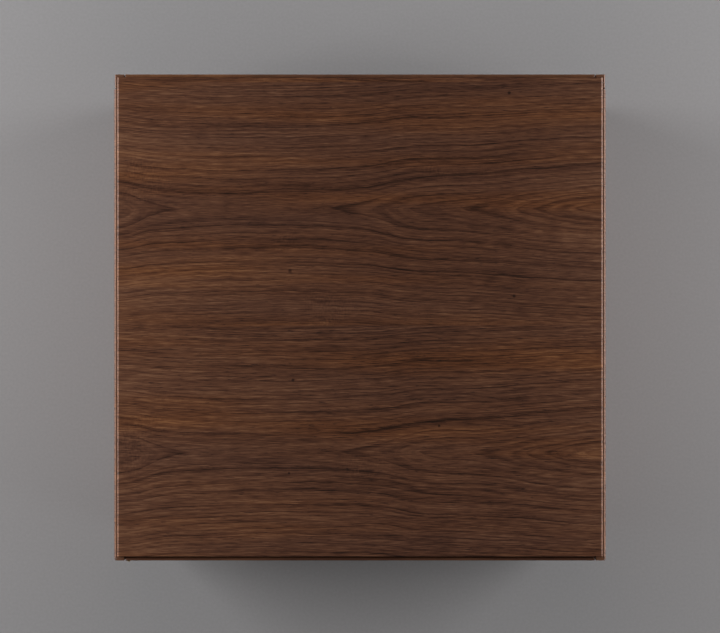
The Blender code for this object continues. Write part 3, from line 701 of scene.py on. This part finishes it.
def combine(obj, tools, operation):
    for tool in tools:
        use_modifier(obj, tool.name, "BOOLEAN", operation=operation, object=tool, solver="EXACT")
        bpy.data.objects.remove(tool)


def carve(obj, *tools):
    combine(obj, tools, "DIFFERENCE")


def unite(obj, *tools):
    combine(obj, tools, "UNION")


def break_edges(obj, width=SANDED):
    """Take the sharpness off every edge, as sandpaper does."""
    use_modifier(obj, "broken_edges", "BEVEL", width=width, segments=2, limit_method="ANGLE",
                 angle_limit=math.radians(SHARP_ANGLE))


def weld(obj):
    """Merge the corners that two bevels left in one place."""
    choose(obj, "VERT", lambda vert: True)
    bpy.ops.mesh.remove_doubles(threshold=WELD_REACH)
    back_to_object()


def smooth(obj, angle):
    """Shade curves smooth while large flats stay flat."""
    hold(obj)
    bpy.ops.object.shade_smooth_by_angle(angle=math.radians(angle))
    use_modifier(obj, "flat_faces", "WEIGHTED_NORMAL", weight=90, keep_sharp=True)


def copy_of(obj, name):
    """A copy with its own mesh."""
    hold(obj)
    bpy.ops.object.duplicate(linked=False)
    return named(name)


def mirrored(obj, name):
    """The other hand of a piece, on the far side of the unit."""
    twin = copy_of(obj, name)
    twin.scale = (-1, 1, 1)
    face_outwards(settle(twin))
    return twin


finished = []


def fit(obj, node, finish, body="carcass", angle=40):
    """Shade a piece up to an angle, give it its finish and its body, and hide the node it stands for."""
    if angle:
        smooth(obj, angle)
    slot, material = finishes[finish]
    obj.data.materials.clear()
    obj.data.materials.append(material)
    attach(obj, body)
    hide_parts(node)
    finished.append(obj.name)
    low = Vector(map(min, *(vert.co for vert in obj.data.vertices)))
    high = Vector(map(max, *(vert.co for vert in obj.data.vertices)))
    size = (high - low) * 1000
    print(f"{obj.name}: {size.x:.1f} x {size.y:.1f} x {size.z:.1f} mm")


print("helpers ready")

# %% [markdown]
# The top board is a dense, flat sheet with walnut on both faces. It drops between the two side
# boards and stands just proud of them. Its two side edges are planed to a narrow 45 degree face
# and then eased with sandpaper, and under low side light that face shows as a fine bright line. A
# plain round-over would catch the light on a third of its width only, so the line would be thinner.

# %% The top board
TOP_PLANED = 0.0013
FRONT_REACH = 0.0003
top_edge = LIP - HAIRLINE
top_board = block("top_board", (-top_edge, top_low.y - FRONT_REACH, top_low.z),
                  (top_edge, REAR_LIP - HAIRLINE, top_high.z))
planed(top_board, TOP_PLANED, lambda co: near(abs(co.x), top_edge) and near(co.z, top_high.z))
break_edges(top_board, EASED)
fit(top_board, "top_panel", "top")

# %% [markdown]
# A side board is modelled once, on the right. Its front edge runs forward in a mitre over the solid
# strip, so no strip edge shows from the side. Rebates at the top and bottom leave a thin outer lip
# that hides the ends of the other boards. The rear has a small shadow step. The left one is a
# mirrored copy, and the hollows that only one side has are carved after that.

# %% The side boards
LIP_PLANED = 0.0012
CORNER_ROUND = 0.0004
SEAM_DEPTH = 0.003
OVERCUT = 0.02
MITRE_TIP = FRONT + 0.0004
ROOM_ABOVE = RIM + OVERCUT
ROOM_BELOW = BASE - OVERCUT
joint_y = strip_high.y + HAIRLINE
ledge = top_low.z - HAIRLINE
floor_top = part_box("bottom_panel")[1].z + HAIRLINE
floor_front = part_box("bottom_front_lipping")[0].y - HAIRLINE
right_side_board = block("right_side_board", (INNER, joint_y, BASE), (OUTER, rear_low.y - HAIRLINE, RIM))
cut_line(right_side_board, (LIP, 0, 0), X)
choose(right_side_board, "VERT", lambda vert: near(vert.co.x, OUTER) and near(vert.co.y, joint_y))
move_chosen((0, MITRE_TIP - joint_y, 0))
planed(right_side_board, LIP_PLANED, lambda co: near(co.x, OUTER) and near(co.z, RIM))
round_edges(right_side_board, CORNER_ROUND, lambda co: near(co.x, OUTER) and near(co.z, BASE), 2, Y)
break_edges(right_side_board, EASED)
carve(
    right_side_board,
    block("top_rebate", (INNER - OVERCUT, FRONT, ledge), (LIP, REAR, ROOM_ABOVE)),
    block("floor_rebate", (INNER - OVERCUT, floor_front, ROOM_BELOW), (LIP, REAR, floor_top)),
    block("rear_shadow", (OUTER - SEAM_DEPTH, rear_low.y - SEAM, ROOM_BELOW),
          (OUTER + OVERCUT, REAR, ROOM_ABOVE)),
)

# %% [markdown]
# Ten blind holes in each side take the shelf pins, so the shelf can sit at five heights. Each is
# drilled with a bar a little thicker than a pin's shank. The two columns stand where the pins are,
# and the rows go up and down from the middle of the unit's height.

# %% Drill the shelf pin holes
HOLE_PITCH = 0.032
HOLE_ROWS = 5
HOLE_DEPTH = 0.0056
HOLE_RADIUS = 0.0026
DRILL_START = 0.002


def centre_of(node):
    low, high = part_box(node)
    return (low + high) / 2


pin_z = (BASE + top_high.z) / 2
for end in ("front", "rear"):
    column = centre_of(f"{end}_right_shelf_pin").y
    for row in range(HOLE_ROWS):
        height = pin_z + (row - (HOLE_ROWS - 1) / 2) * HOLE_PITCH
        drill = round_bar("drill", HOLE_RADIUS, (INNER - DRILL_START, column, height),
                          (INNER + HOLE_DEPTH, column, height), 24)
        carve(right_side_board, drill)
left_side_board = mirrored(right_side_board, "left_side_board")
print("shelf pin holes:", 2 * HOLE_ROWS, "a side")

# %% [markdown]
# The hinge leaves are let in flush, so the left side board and its front strip have a shallow
# recess for each. One helper makes the same cutter for every piece that a leaf crosses.

# %% Hinge recesses
LEAF_ROOM = 0.002
hinge_boxes = {name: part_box(f"{name}_hinge_carcass_leaf") for name in ("lower", "upper")}
door_leaf_boxes = {name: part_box(f"{name}_hinge_door_leaf") for name in ("lower", "upper")}


def leaf_cutters(boxes, reach):
    """A block a hairline larger than each leaf, open towards the gap by reach."""
    cutters = []
    for name, (low, high) in boxes.items():
        x_low, x_high = sorted((low.x - HAIRLINE + min(reach, 0), high.x + HAIRLINE + max(reach, 0)))
        cutters.append(block(f"{name}_recess", (x_low, FRONT - OVERCUT, low.z - HAIRLINE),
                             (x_high, high.y + HAIRLINE, high.z + HAIRLINE)))
    return cutters


carve(left_side_board, *leaf_cutters(hinge_boxes, LEAF_ROOM))
fit(left_side_board, "left_side_panel", "side")
fit(right_side_board, "right_side_panel", "side")

# %% [markdown]
# A solid strip covers each side board's front edge. Its outer end is cut back at the mitre, and its
# visible front corner is eased. At the rear a wider strip stands upright behind the side board, set
# back a fraction of a millimetre, with a rebate for the top board and one for the bottom board.

# %% The strips on the side boards
MITRE_START = OUTER - 0.0005
REAR_PLANED = 0.7 * LIP_PLANED
front_strip = block("right_front_strip", (INNER, FRONT, BASE), (MITRE_START, strip_high.y, RIM))
choose(front_strip, "VERT", lambda vert: near(vert.co.x, MITRE_START) and near(vert.co.y, strip_high.y))
move_chosen((LIP - HAIRLINE - MITRE_START, 0, 0))
round_edges(front_strip, CORNER_ROUND, lambda co: near(co.x, MITRE_START) and near(co.y, FRONT), 3, Z)
break_edges(front_strip)
weld(front_strip)
left_front_strip = mirrored(front_strip, "left_front_strip")
carve(left_front_strip, *leaf_cutters(hinge_boxes, LEAF_ROOM))

rear_strip = block("right_rear_strip", (INNER, rear_low.y, BASE), (rear_high.x, REAR, RIM))
planed(rear_strip, REAR_PLANED, lambda co: near(co.x, rear_high.x) and near(co.z, RIM))
break_edges(rear_strip)
carve(
    rear_strip,
    block("top_rebate", (INNER - OVERCUT, FRONT, ledge), (LIP, REAR_LIP, ROOM_ABOVE)),
    block("floor_rebate", (INNER - OVERCUT, FRONT, ROOM_BELOW), (LIP, back_low.y, floor_top)),
)
left_rear_strip = mirrored(rear_strip, "left_rear_strip")
fit(front_strip, "right_front_lipping", "side_strip")
fit(left_front_strip, "left_front_lipping", "side_strip")
fit(rear_strip, "right_rear_lipping", "rear_strip")
fit(left_rear_strip, "left_rear_lipping", "rear_strip")

# %% [markdown]
# The back board stands between the rear strips with a shadow gap at each end. Behind the top board
# it rises as a thin lip, whose ends are eased so that they catch the light beside the dark gaps.

# %% The back board
LIP_END = 0.0006
back_board = block("back_board", (-back_high.x, back_low.y, BASE), (back_high.x, REAR, RIM))
gap_start, gap_end = INNER - SEAM, REAR - SEAM_DEPTH
carve(
    back_board,
    block("top_rebate", (-OUTER, FRONT, ledge), (OUTER, REAR_LIP, ROOM_ABOVE)),
    block("left_gap", (-OUTER, gap_end, ROOM_BELOW), (-gap_start, REAR + OVERCUT, ROOM_ABOVE)),
    block("right_gap", (gap_start, gap_end, ROOM_BELOW), (OUTER, REAR + OVERCUT, ROOM_ABOVE)),
)
planed(back_board, LIP_END, lambda co: near(abs(co.x), gap_start) and near(co.z, RIM))
break_edges(back_board)
fit(back_board, "back_panel", "back")

# %% [markdown]
# The bottom board slides into the side boards' rebates, and a solid strip finishes its front edge.
# The shelf is made the same way, so one helper makes a board with its strip. A real shelf's strip
# is glued on and planed flush, and only its two long front corners are eased.

# %% The bottom board and the shelf
STRIP_ROUND = 0.0005


def board_with_strip(name, rear):
    """A level board and the strip on its front edge, a hairline apart."""
    low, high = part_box(f"{name}_panel")
    edge_low, edge_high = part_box(f"{name}_front_lipping")
    board = block(f"{name}_board", (low.x, edge_high.y + HAIRLINE, low.z), (high.x, rear, high.z))
    break_edges(board)
    fit(board, f"{name}_panel", name)
    strip = block(f"{name}_front_strip", edge_low, edge_high)
    round_edges(strip, STRIP_ROUND, lambda co: near(co.y, edge_low.y), 3, X)
    break_edges(strip)
    fit(strip, f"{name}_front_lipping", "level_strip")


board_with_strip("bottom", back_low.y - HAIRLINE)
board_with_strip("shelf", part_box("shelf_panel")[1].y)

# %% [markdown]
# The door is a veneered board with a solid strip on each edge. The top strip is the deepest: along
# its front it carries a lip that rises in front of the top board and hides its edge. The strip starts
# as a block, a cut line is made across it, and the narrow front face on its top is pulled up. A small
# step is then milled along the back of the lip, so the groove before the top board stays shallow.

# %% The door board and its top strip
DOOR_LIP = 0.002
LIP_STEP = 0.0008
LIP_STEP_DROP = 0.0015
SHOULDER_DROP = 0.0014
door_board = block("door_board", door_low, door_high)
break_edges(door_board)
carve(door_board, *leaf_cutters(door_leaf_boxes, -LEAF_ROOM))
fit(door_board, "door_panel", "door", "door")

lip_root = FRONT + DOOR_LIP + LIP_STEP
door_shoulder = ledge - SHOULDER_DROP
door_middle = (door_top_low.x + door_top_high.x) / 2
door_half = (door_top_high.x - door_top_low.x) / 2
door_top_strip = block("door_top_strip", door_top_low, (door_top_high.x, door_top_high.y, door_shoulder))
cut_line(door_top_strip, (0, lip_root, 0), Y)
choose(door_top_strip, "FACE",
       lambda face: face.normal.z > 0.9 and face.calc_center_median().y < lip_root)
bpy.ops.mesh.extrude_region_move(TRANSFORM_OT_translate={"value": (0, 0, RIM - door_shoulder)})
back_to_object()
carve(door_top_strip, block("lip_step", (-OUTER, FRONT + DOOR_LIP, RIM - LIP_STEP_DROP),
                            (OUTER, lip_root + SEAM, ROOM_ABOVE)))
planed(door_top_strip, LIP_END,
       lambda co: near(abs(co.x - door_middle), door_half) and near(co.z, RIM))
break_edges(door_top_strip)
fit(door_top_strip, "door_top_lipping", "door_top_strip", "door")

# %% [markdown]
# The other three strips are plain lengths of wood, rounded a little on the corners that a hand can
# reach. The one on the hinge side has the same recesses for the leaves as the board behind it.

# %% The other strips on the door
low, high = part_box("door_bottom_lipping")
door_bottom_strip = block("door_bottom_strip", low, high)
round_edges(door_bottom_strip, CORNER_ROUND, lambda co: near(co.z, low.z), 2, X)
fit(door_bottom_strip, "door_bottom_lipping", "level_strip", "door")

low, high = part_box("door_free_lipping")
door_free_strip = block("door_free_strip", low, high)
round_edges(door_free_strip, CORNER_ROUND, lambda co: near(co.x, high.x), 3, Z)
fit(door_free_strip, "door_free_lipping", "door_side_strip", "door")

low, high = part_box("door_hinge_lipping")
door_hinge_strip = block("door_hinge_strip", low, high)
round_edges(door_hinge_strip, CORNER_ROUND, lambda co: near(co.x, low.x), 3, Z)
carve(door_hinge_strip, *leaf_cutters(door_leaf_boxes, -LEAF_ROOM))
fit(door_hinge_strip, "door_hinge_lipping", "door_side_strip", "door")

# %% [markdown]
# Round pieces are turned. A disc is set down at the first step of the profile, and each further step
# pushes its face along the axis and then draws it in or out, as a lathe hand would describe it. It
# is turned upright at the origin, then laid along its real axis at its real place.

# %% Helpers for turning


def turned(name, profile, place, direction, sides=40):
    """A solid turned from (radius, distance) steps, laid along a direction from a place."""
    bpy.ops.object.select_all(action="DESELECT")
    radius, distance = profile[0]
    bpy.ops.mesh.primitive_circle_add(vertices=sides, radius=radius, fill_type="NGON",
                                      location=(0, 0, distance))
    obj = named(name)
    bpy.ops.object.mode_set(mode="EDIT")
    bpy.ops.mesh.select_all(action="SELECT")
    for next_radius, next_distance in profile[1:]:
        step = next_distance - distance
        bpy.ops.mesh.extrude_region_move(TRANSFORM_OT_translate={"value": (0, 0, step)})
        share = next_radius / radius
        bpy.ops.transform.resize(value=(share, share, 1), center_override=(0, 0, next_distance))
        radius, distance = next_radius, next_distance
    bpy.ops.mesh.select_all(action="SELECT")
    bpy.ops.mesh.normals_make_consistent(inside=False)
    back_to_object()
    turn = Vector(direction).to_track_quat("Z", "Y").to_matrix().to_4x4()
    obj.matrix_world = Matrix.Translation(place) @ turn
    return settle(obj)


def eased(radius, start, end):
    """The steps of a barrel whose two corners are taken off."""
    return [(radius - SANDED, start), (radius, start + SANDED),
            (radius, end - SANDED), (radius - SANDED, end)]


# %% [markdown]
# A small wood screw has a countersunk head with a slot, a plain neck, and a thread that tapers to a
# point. The thread shows only when a screw is out, so it is turned as close ridges rather than cut
# as a helix. One screw is modelled pointing along the X axis, and every other screw is a copy of it.
# Where a screw goes through metal or plastic, a matching countersink is carved first.

# %% One screw for all eleven places
screw_low, screw_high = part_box("latch_screw_1")
SCREW_LENGTH = screw_high.x - screw_low.x
HEAD_RADIUS = (screw_high.z - screw_low.z) / 2
HEAD_HEIGHT = 0.0009
NECK_RADIUS = 0.0009
POINT_RADIUS = 0.00008
SLOT_WIDTH = 0.0005
THREAD_RIDGES = 6
THREAD_START = 0.0018
THREAD_DEPTH = 0.00022
THREAD_TAPER = 0.55
SINK_RISE = 0.0004
SINK_DEPTH = 0.004
SPARE = 0.0003


def screw_profile():
    """Steps from the face of the head to the point."""
    steps = [(HEAD_RADIUS - HAIRLINE, 0.0), (HEAD_RADIUS, HAIRLINE), (NECK_RADIUS, HEAD_HEIGHT),
             (NECK_RADIUS, THREAD_START)]
    pitch = (SCREW_LENGTH - THREAD_START) / (THREAD_RIDGES + 1)
    for ridge in range(THREAD_RIDGES):
        taper = 1 - THREAD_TAPER * (ridge / THREAD_RIDGES) ** 2
        crest = THREAD_START + pitch * (ridge + 0.5)
        root = (NECK_RADIUS - THREAD_DEPTH) * taper
        steps += [(root, crest - pitch / 4), (NECK_RADIUS * taper, crest), (root, crest + pitch / 4)]
    return steps + [(POINT_RADIUS, SCREW_LENGTH)]


pattern_screw = turned("pattern_screw", screw_profile(), (0, 0, 0), X, sides=28)
slot_corner = Vector((SLOT_WIDTH, 2 * HEAD_RADIUS, SLOT_WIDTH / 2))
carve(pattern_screw, block("slot", -slot_corner, slot_corner))
print("screw:", len(pattern_screw.data.polygons), "faces")


def set_screw(node, direction, slot_angle, finish, body="carcass"):
    """A copy of the screw, driven in a direction, its slot turned by a number of degrees."""
    low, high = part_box(node)
    head = centre_of(node) - direction * abs((high - low).dot(direction)) / 2
    screw = copy_of(pattern_screw, f"{node}_driven")
    turn = X.rotation_difference(direction).to_matrix().to_4x4()
    spin = Matrix.Rotation(math.radians(slot_angle), 4, direction)
    screw.matrix_world = Matrix.Translation(head) @ spin @ turn
    fit(settle(screw), node, finish, body, 35)


def countersink(obj, place, direction, spare, depth):
    """A seat for a screw's head and a hole for its neck, larger than the screw by spare."""
    head, neck = HEAD_RADIUS + spare, NECK_RADIUS + spare - HAIRLINE
    steps = [(head, -SINK_RISE), (head - 2 * HAIRLINE, HAIRLINE), (neck, HEAD_HEIGHT + HAIRLINE),
             (neck, depth)]
    carve(obj, turned("countersink", steps, place, direction, 32))


# %% [markdown]
# Each butt hinge has two leaves and a pin. The leaf on the carcass has the two outer knuckles and
# the one on the door has the middle knuckle. A leaf is a thin plate with eased corners, joined to
# its knuckles, bored for the pin and countersunk for two screws. The pin ends in two small domes.

# %% The hinges
KNUCKLE_RADIUS = 0.002
PIN_RADIUS = 0.0009
LEAF_HEIGHT = 0.040
LEAF_THICKNESS = 0.0012
LEAF_OFFSET = 0.00045
TONGUE_REACH = 0.0012
BRASS_SPARE = 0.00025
SLOT_ANGLES = ((1, 18), (2, 74))
# the dome and head of a hinge pin: (radius, distance from its end)
PIN_DOME = [(0.0012, 0.0), (0.0017, 0.0003), (KNUCKLE_RADIUS, 0.0007), (KNUCKLE_RADIUS, 0.001),
            (PIN_RADIUS, 0.001)]


def hinge_leaf(hinge, kind, side, body):
    """One leaf with its knuckles. side is -1 on the carcass and +1 on the door."""
    node = f"{hinge}_hinge_{kind}_leaf"
    line = centre_of(f"{hinge}_hinge_pin")
    faces = (line.x + side * LEAF_OFFSET, line.x + side * (LEAF_OFFSET + LEAF_THICKNESS))
    left_x, right_x = sorted(faces)
    bottom = line.z - LEAF_HEIGHT / 2
    third = LEAF_HEIGHT / 3
    plate = block(f"{hinge}_{kind}_hinge_leaf", (left_x, FRONT + CAD_GAP, bottom),
                  (right_x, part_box(node)[1].y, bottom + LEAF_HEIGHT))
    break_edges(plate)
    if side < 0:
        knuckles = [(0, third), (2 * third, LEAF_HEIGHT)]
    else:
        knuckles = [(third + CAD_GAP, 2 * third - CAD_GAP)]
    for start, end in knuckles:
        tongue = block("tongue", (left_x + HAIRLINE, line.y, bottom + start + HAIRLINE),
                       (right_x - HAIRLINE, FRONT + TONGUE_REACH, bottom + end - HAIRLINE))
        barrel = turned("knuckle", eased(KNUCKLE_RADIUS, start, end), (line.x, line.y, bottom), Z)
        unite(plate, tongue, barrel)
    carve(plate, round_bar("bore", PIN_RADIUS + HAIRLINE, (line.x, line.y, bottom - LEAF_HEIGHT),
                           (line.x, line.y, bottom + 2 * LEAF_HEIGHT), 36))
    seat_x = right_x if side < 0 else left_x
    for screw in (1, 2):
        centre = centre_of(f"{hinge}_hinge_{kind}_screw_{screw}")
        countersink(plate, (seat_x, centre.y, centre.z), side * X, BRASS_SPARE, SINK_DEPTH)
    fit(plate, node, "brass", body)


for hinge in ("lower", "upper"):
    hinge_leaf(hinge, "carcass", -1, "carcass")
    hinge_leaf(hinge, "door", 1, "door")
    for screw, slot_angle in SLOT_ANGLES:
        set_screw(f"{hinge}_hinge_carcass_screw_{screw}", -X, slot_angle, "brass")
        set_screw(f"{hinge}_hinge_door_screw_{screw}", X, 140 - slot_angle, "brass", "door")
    low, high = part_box(f"{hinge}_hinge_pin")
    line = centre_of(f"{hinge}_hinge_pin")
    far_dome = [(radius, high.z - low.z - distance) for radius, distance in reversed(PIN_DOME)]
    pin = turned(f"{hinge}_pin", PIN_DOME + far_dome, (line.x, line.y, low.z), Z)
    fit(pin, f"{hinge}_hinge_pin", "brass", angle=50)

# %% [markdown]
# A shelf pin is one turned piece of nickelled steel: a shank in the hole, a collar against the side
# board, and a peg whose top is milled flat so that the shelf sits on it. It is turned, then cut
# with a block along the flat. The four differ only in place and hand.

# %% The shelf pins
SHANK_RADIUS = 0.0024
SHANK_LENGTH = 0.0053
SHANK_TAPER = 0.0004
PEG_ROUND = 0.0005
COLLAR_THICKNESS = 0.0007
FLAT_START = 0.0012
shelf_low, shelf_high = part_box("shelf_panel")
collar_end = SHANK_LENGTH + COLLAR_THICKNESS


def shelf_pin(name, sign):
    """A pin in the left (-1) or right (+1) side board."""
    low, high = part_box(f"{name}_shelf_pin")
    length = high.x - low.x
    shank = [(SHANK_RADIUS - SHANK_TAPER, 0.0), (SHANK_RADIUS, SHANK_TAPER), (SHANK_RADIUS, SHANK_LENGTH)]
    collar = eased((high.y - low.y) / 2, SHANK_LENGTH, collar_end)
    peg = [(SHANK_RADIUS, collar_end), (SHANK_RADIUS, length - PEG_ROUND), (SHANK_RADIUS - PEG_ROUND, length)]
    start = high.x if sign > 0 else low.x
    place = (start, centre_of(f"{name}_shelf_pin").y, pin_z)
    pin = turned(f"{name}_pin", shank + collar + peg, place, -sign * X)
    flat_low, flat_high = sorted((sign * (INNER - FLAT_START), sign * (INNER - FLAT_START - OVERCUT)))
    carve(pin, block("flat", (flat_low, low.y - OVERCUT / 2, shelf_low.z - HAIRLINE),
                     (flat_high, high.y + OVERCUT / 2, shelf_high.z)))
    fit(pin, f"{name}_shelf_pin", "nickel", angle=35)


for end in ("front", "rear"):
    for hand, sign in (("left", -1), ("right", 1)):
        shelf_pin(f"{end}_{hand}", sign)

# %% [markdown]
# Under each corner a black nylon cup is nailed to the bottom board, and a felt pad is pressed into
# it. The cup is turned with a soft outer corner. The felt's rim bulges slightly where it leaves the
# cup, because pressed felt spreads, so its profile is a little barrel-shaped.

# %% The glides
FELT_SEAT_RADIUS = 0.0094
FELT_SEAT_DEPTH = 0.0028
CUP_EASE = 0.0003
# the soft outer corner of the cup's mouth: (in from the radius, up from the mouth)
CUP_CORNER = [(0.0012, 0.0), (0.0004, 0.0003), (0.0, 0.0010)]
NAIL_RADIUS = 0.001
NAIL_POINT_RADIUS = 0.0002
NAIL_POINT_LENGTH = 0.001
# the side of the felt pad, from the floor up: (in from the radius, height)
FELT_BARREL = [(0.0005, 0.0), (0.00012, 0.0003), (0.0, 0.0009), (0.0001, 0.0018)]
FELT_TOP_INSET = 0.0003


def glide(name):
    """A nylon cup with its nail, and the felt pad in it."""
    low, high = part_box(name)
    centre = centre_of(name)
    radius = (high.x - low.x) / 2
    cup_top = BASE - HAIRLINE
    mouth = [(radius - inset, low.z + rise) for inset, rise in CUP_CORNER]
    steps = [(FELT_SEAT_RADIUS, FELT_SEAT_DEPTH), (FELT_SEAT_RADIUS, low.z), *mouth,
             (radius, cup_top - CUP_EASE), (radius - CUP_EASE, cup_top), (NAIL_RADIUS, cup_top),
             (NAIL_RADIUS, high.z - NAIL_POINT_LENGTH), (NAIL_POINT_RADIUS, high.z)]
    fit(turned(f"{name}_cup", steps, (centre.x, centre.y, 0), Z, 56), name, "nylon", angle=45)
    low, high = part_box(f"{name}_felt")
    radius = (high.x - low.x) / 2
    steps = [(radius - inset, height) for inset, height in FELT_BARREL]
    steps.append((radius - FELT_TOP_INSET, high.z))
    fit(turned(f"{name}_pad", steps, (centre.x, centre.y, 0), Z, 56), f"{name}_felt", "felt", angle=50)


for end in ("front", "rear"):
    for hand in ("left", "right"):
        glide(f"{end}_{hand}_glide")

# %% [markdown]
# The push latch is screwed to the right side board. Its moulded housing has a bored nose for the
# plunger, two ears for the screws, and three shallow finger ribs along its inner face.

# %% The latch housing
BODY_HALF = 0.006
BODY_ROUND = 0.0012
RIBS = 3
RIB_PITCH = 0.0035
RIB_WIDTH = 0.001
RIB_HALF = 0.004
RIB_DEPTH = 0.0004
EAR_THICKNESS = 0.002
EAR_HALF = 0.008
EAR_ROUND = 0.003
BORE_SPARE = 0.0002
BORE_REST = 0.0024
BORE_START = 0.01
NYLON_SINK_DEPTH = 0.006
housing_low, housing_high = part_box("latch_housing")
plunger_low, plunger_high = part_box("latch_plunger")
magnet_low, magnet_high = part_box("latch_magnet")
spring_low, spring_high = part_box("latch_spring")
plunger_axis = centre_of("latch_plunger")
axis_x, axis_z = plunger_axis.x, plunger_axis.z
plunger_radius = (plunger_high.x - plunger_low.x) / 2
ear_middle = centre_of("latch_screw_1").y
housing = block("latch_body", (housing_low.x, housing_low.y, axis_z - BODY_HALF),
                (housing_high.x, housing_high.y, axis_z + BODY_HALF))
round_edges(housing, BODY_ROUND, lambda co: near(co.x, housing_low.x), 4)
for rib in range(RIBS):
    rib_y = housing_high.y - BODY_HALF - rib * RIB_PITCH
    carve(housing, block("groove",
                         (housing_low.x - RIB_WIDTH, rib_y - RIB_WIDTH / 2, axis_z - RIB_HALF),
                         (housing_low.x + RIB_DEPTH, rib_y + RIB_WIDTH / 2, axis_z + RIB_HALF)))


def ear_corner(co):
    at_end = near(co.z, housing_low.z) or near(co.z, housing_high.z)
    return at_end and near(abs(co.y - ear_middle), EAR_HALF)


ears = block("ears", (housing_high.x - EAR_THICKNESS, ear_middle - EAR_HALF, housing_low.z),
             (housing_high.x, ear_middle + EAR_HALF, housing_high.z))
round_edges(ears, EAR_ROUND, ear_corner, 5, X)
break_edges(ears)
unite(housing, ears)
bore_end = max(spring_high.y, plunger_high.y) + BORE_REST
carve(housing, round_bar("bore", plunger_radius + BORE_SPARE, (axis_x, housing_low.y - BORE_START, axis_z),
                         (axis_x, bore_end, axis_z), 40))
for screw in (1, 2):
    centre = centre_of(f"latch_screw_{screw}")
    seat = (housing_high.x - EAR_THICKNESS, centre.y, centre.z)
    countersink(housing, seat, X, SPARE, NYLON_SINK_DEPTH)
    set_screw(f"latch_screw_{screw}", X, 35 * screw, "zinc")
fit(housing, "latch_housing", "nylon")

# %% [markdown]
# The plunger is turned from nylon, with a seat for the magnet in its tip and a bore for the spring
# behind. The magnet is what grips the door, and both ride with the plunger.

# %% The plunger and its magnet
MAGNET_RADIUS = 0.0021
MAGNET_SEAT_RADIUS = 0.0023
MAGNET_SEAT_DEPTH = 0.0022
SPRING_BORE_RADIUS = 0.0021
SPRING_BORE_DEPTH = 0.0138
TIP_ROUND = 0.0005
length = plunger_high.y - plunger_low.y
steps = [(MAGNET_SEAT_RADIUS, MAGNET_SEAT_DEPTH), (MAGNET_SEAT_RADIUS, 0.0),
         (plunger_radius - TIP_ROUND, 0.0), (plunger_radius - 0.3 * TIP_ROUND, 0.3 * TIP_ROUND),
         (plunger_radius, TIP_ROUND), (plunger_radius, length), (SPRING_BORE_RADIUS, length),
         (SPRING_BORE_RADIUS, length - SPRING_BORE_DEPTH)]
plunger = turned("push_plunger", steps, (axis_x, plunger_low.y, axis_z), Y)
fit(plunger, "latch_plunger", "nylon", "latch_plunger", 45)
magnet_steps = eased(MAGNET_RADIUS, 0.0, magnet_high.y - magnet_low.y)
magnet = turned("plunger_magnet", magnet_steps, (axis_x, magnet_low.y, axis_z), Y)
fit(magnet, "latch_magnet", "nickel", "latch_plunger", 45)

# %% [markdown]
# A coil spring is one round wire wound at an even pitch. A small circle, the wire's section, is
# swept by the Screw modifier, and its two open ends are then filled so that the wire is a solid.

# %% The latch spring
WIRE = 0.00022
SPRING_TURNS = 9
TURN_STEPS = 24
coil_radius = (spring_high.x - spring_low.x) / 2 - WIRE
coil_length = spring_high.y - spring_low.y - 2 * WIRE
bpy.ops.object.select_all(action="DESELECT")
bpy.ops.mesh.primitive_circle_add(vertices=10, radius=WIRE, location=(coil_radius, 0, 0),
                                  rotation=(math.pi / 2, 0, 0))
spring = named("plunger_spring")
use_modifier(spring, "winding", "SCREW", angle=2 * math.pi * SPRING_TURNS, screw_offset=coil_length,
             steps=TURN_STEPS * SPRING_TURNS, render_steps=TURN_STEPS * SPRING_TURNS,
             use_smooth_shade=True)
choose(spring, "EDGE", lambda edge: edge.is_boundary)
bpy.ops.mesh.fill()
back_to_object()
face_outwards(spring)
turn = Y.to_track_quat("Z", "Y").to_matrix().to_4x4()
spring.matrix_world = Matrix.Translation((axis_x, spring_low.y + WIRE, axis_z)) @ turn
fit(settle(spring), "latch_spring", "zinc", angle=None)

# %% [markdown]
# On the back of the door a thin steel disc, held by one screw, is what the magnet grips.

# %% The strike plate
DISC_ROUND = 0.0004
low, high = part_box("strike_plate")
centre = centre_of("strike_plate")
radius = (high.x - low.x) / 2
thickness = high.y - low.y
steps = [(radius, 0.0), (radius, thickness - DISC_ROUND),
         (radius - 0.3 * DISC_ROUND, thickness - 0.3 * DISC_ROUND), (radius - DISC_ROUND, thickness)]
strike = turned("strike_disc", steps, (centre.x, low.y, centre.z), Y, 56)
countersink(strike, (centre.x, high.y, centre.z), -Y, SPARE, SINK_DEPTH)
fit(strike, "strike_plate", "zinc", "door", 35)
set_screw("strike_screw", -Y, 25, "zinc", "door")
bpy.data.objects.remove(pattern_screw)
print("pieces:", len(finished))
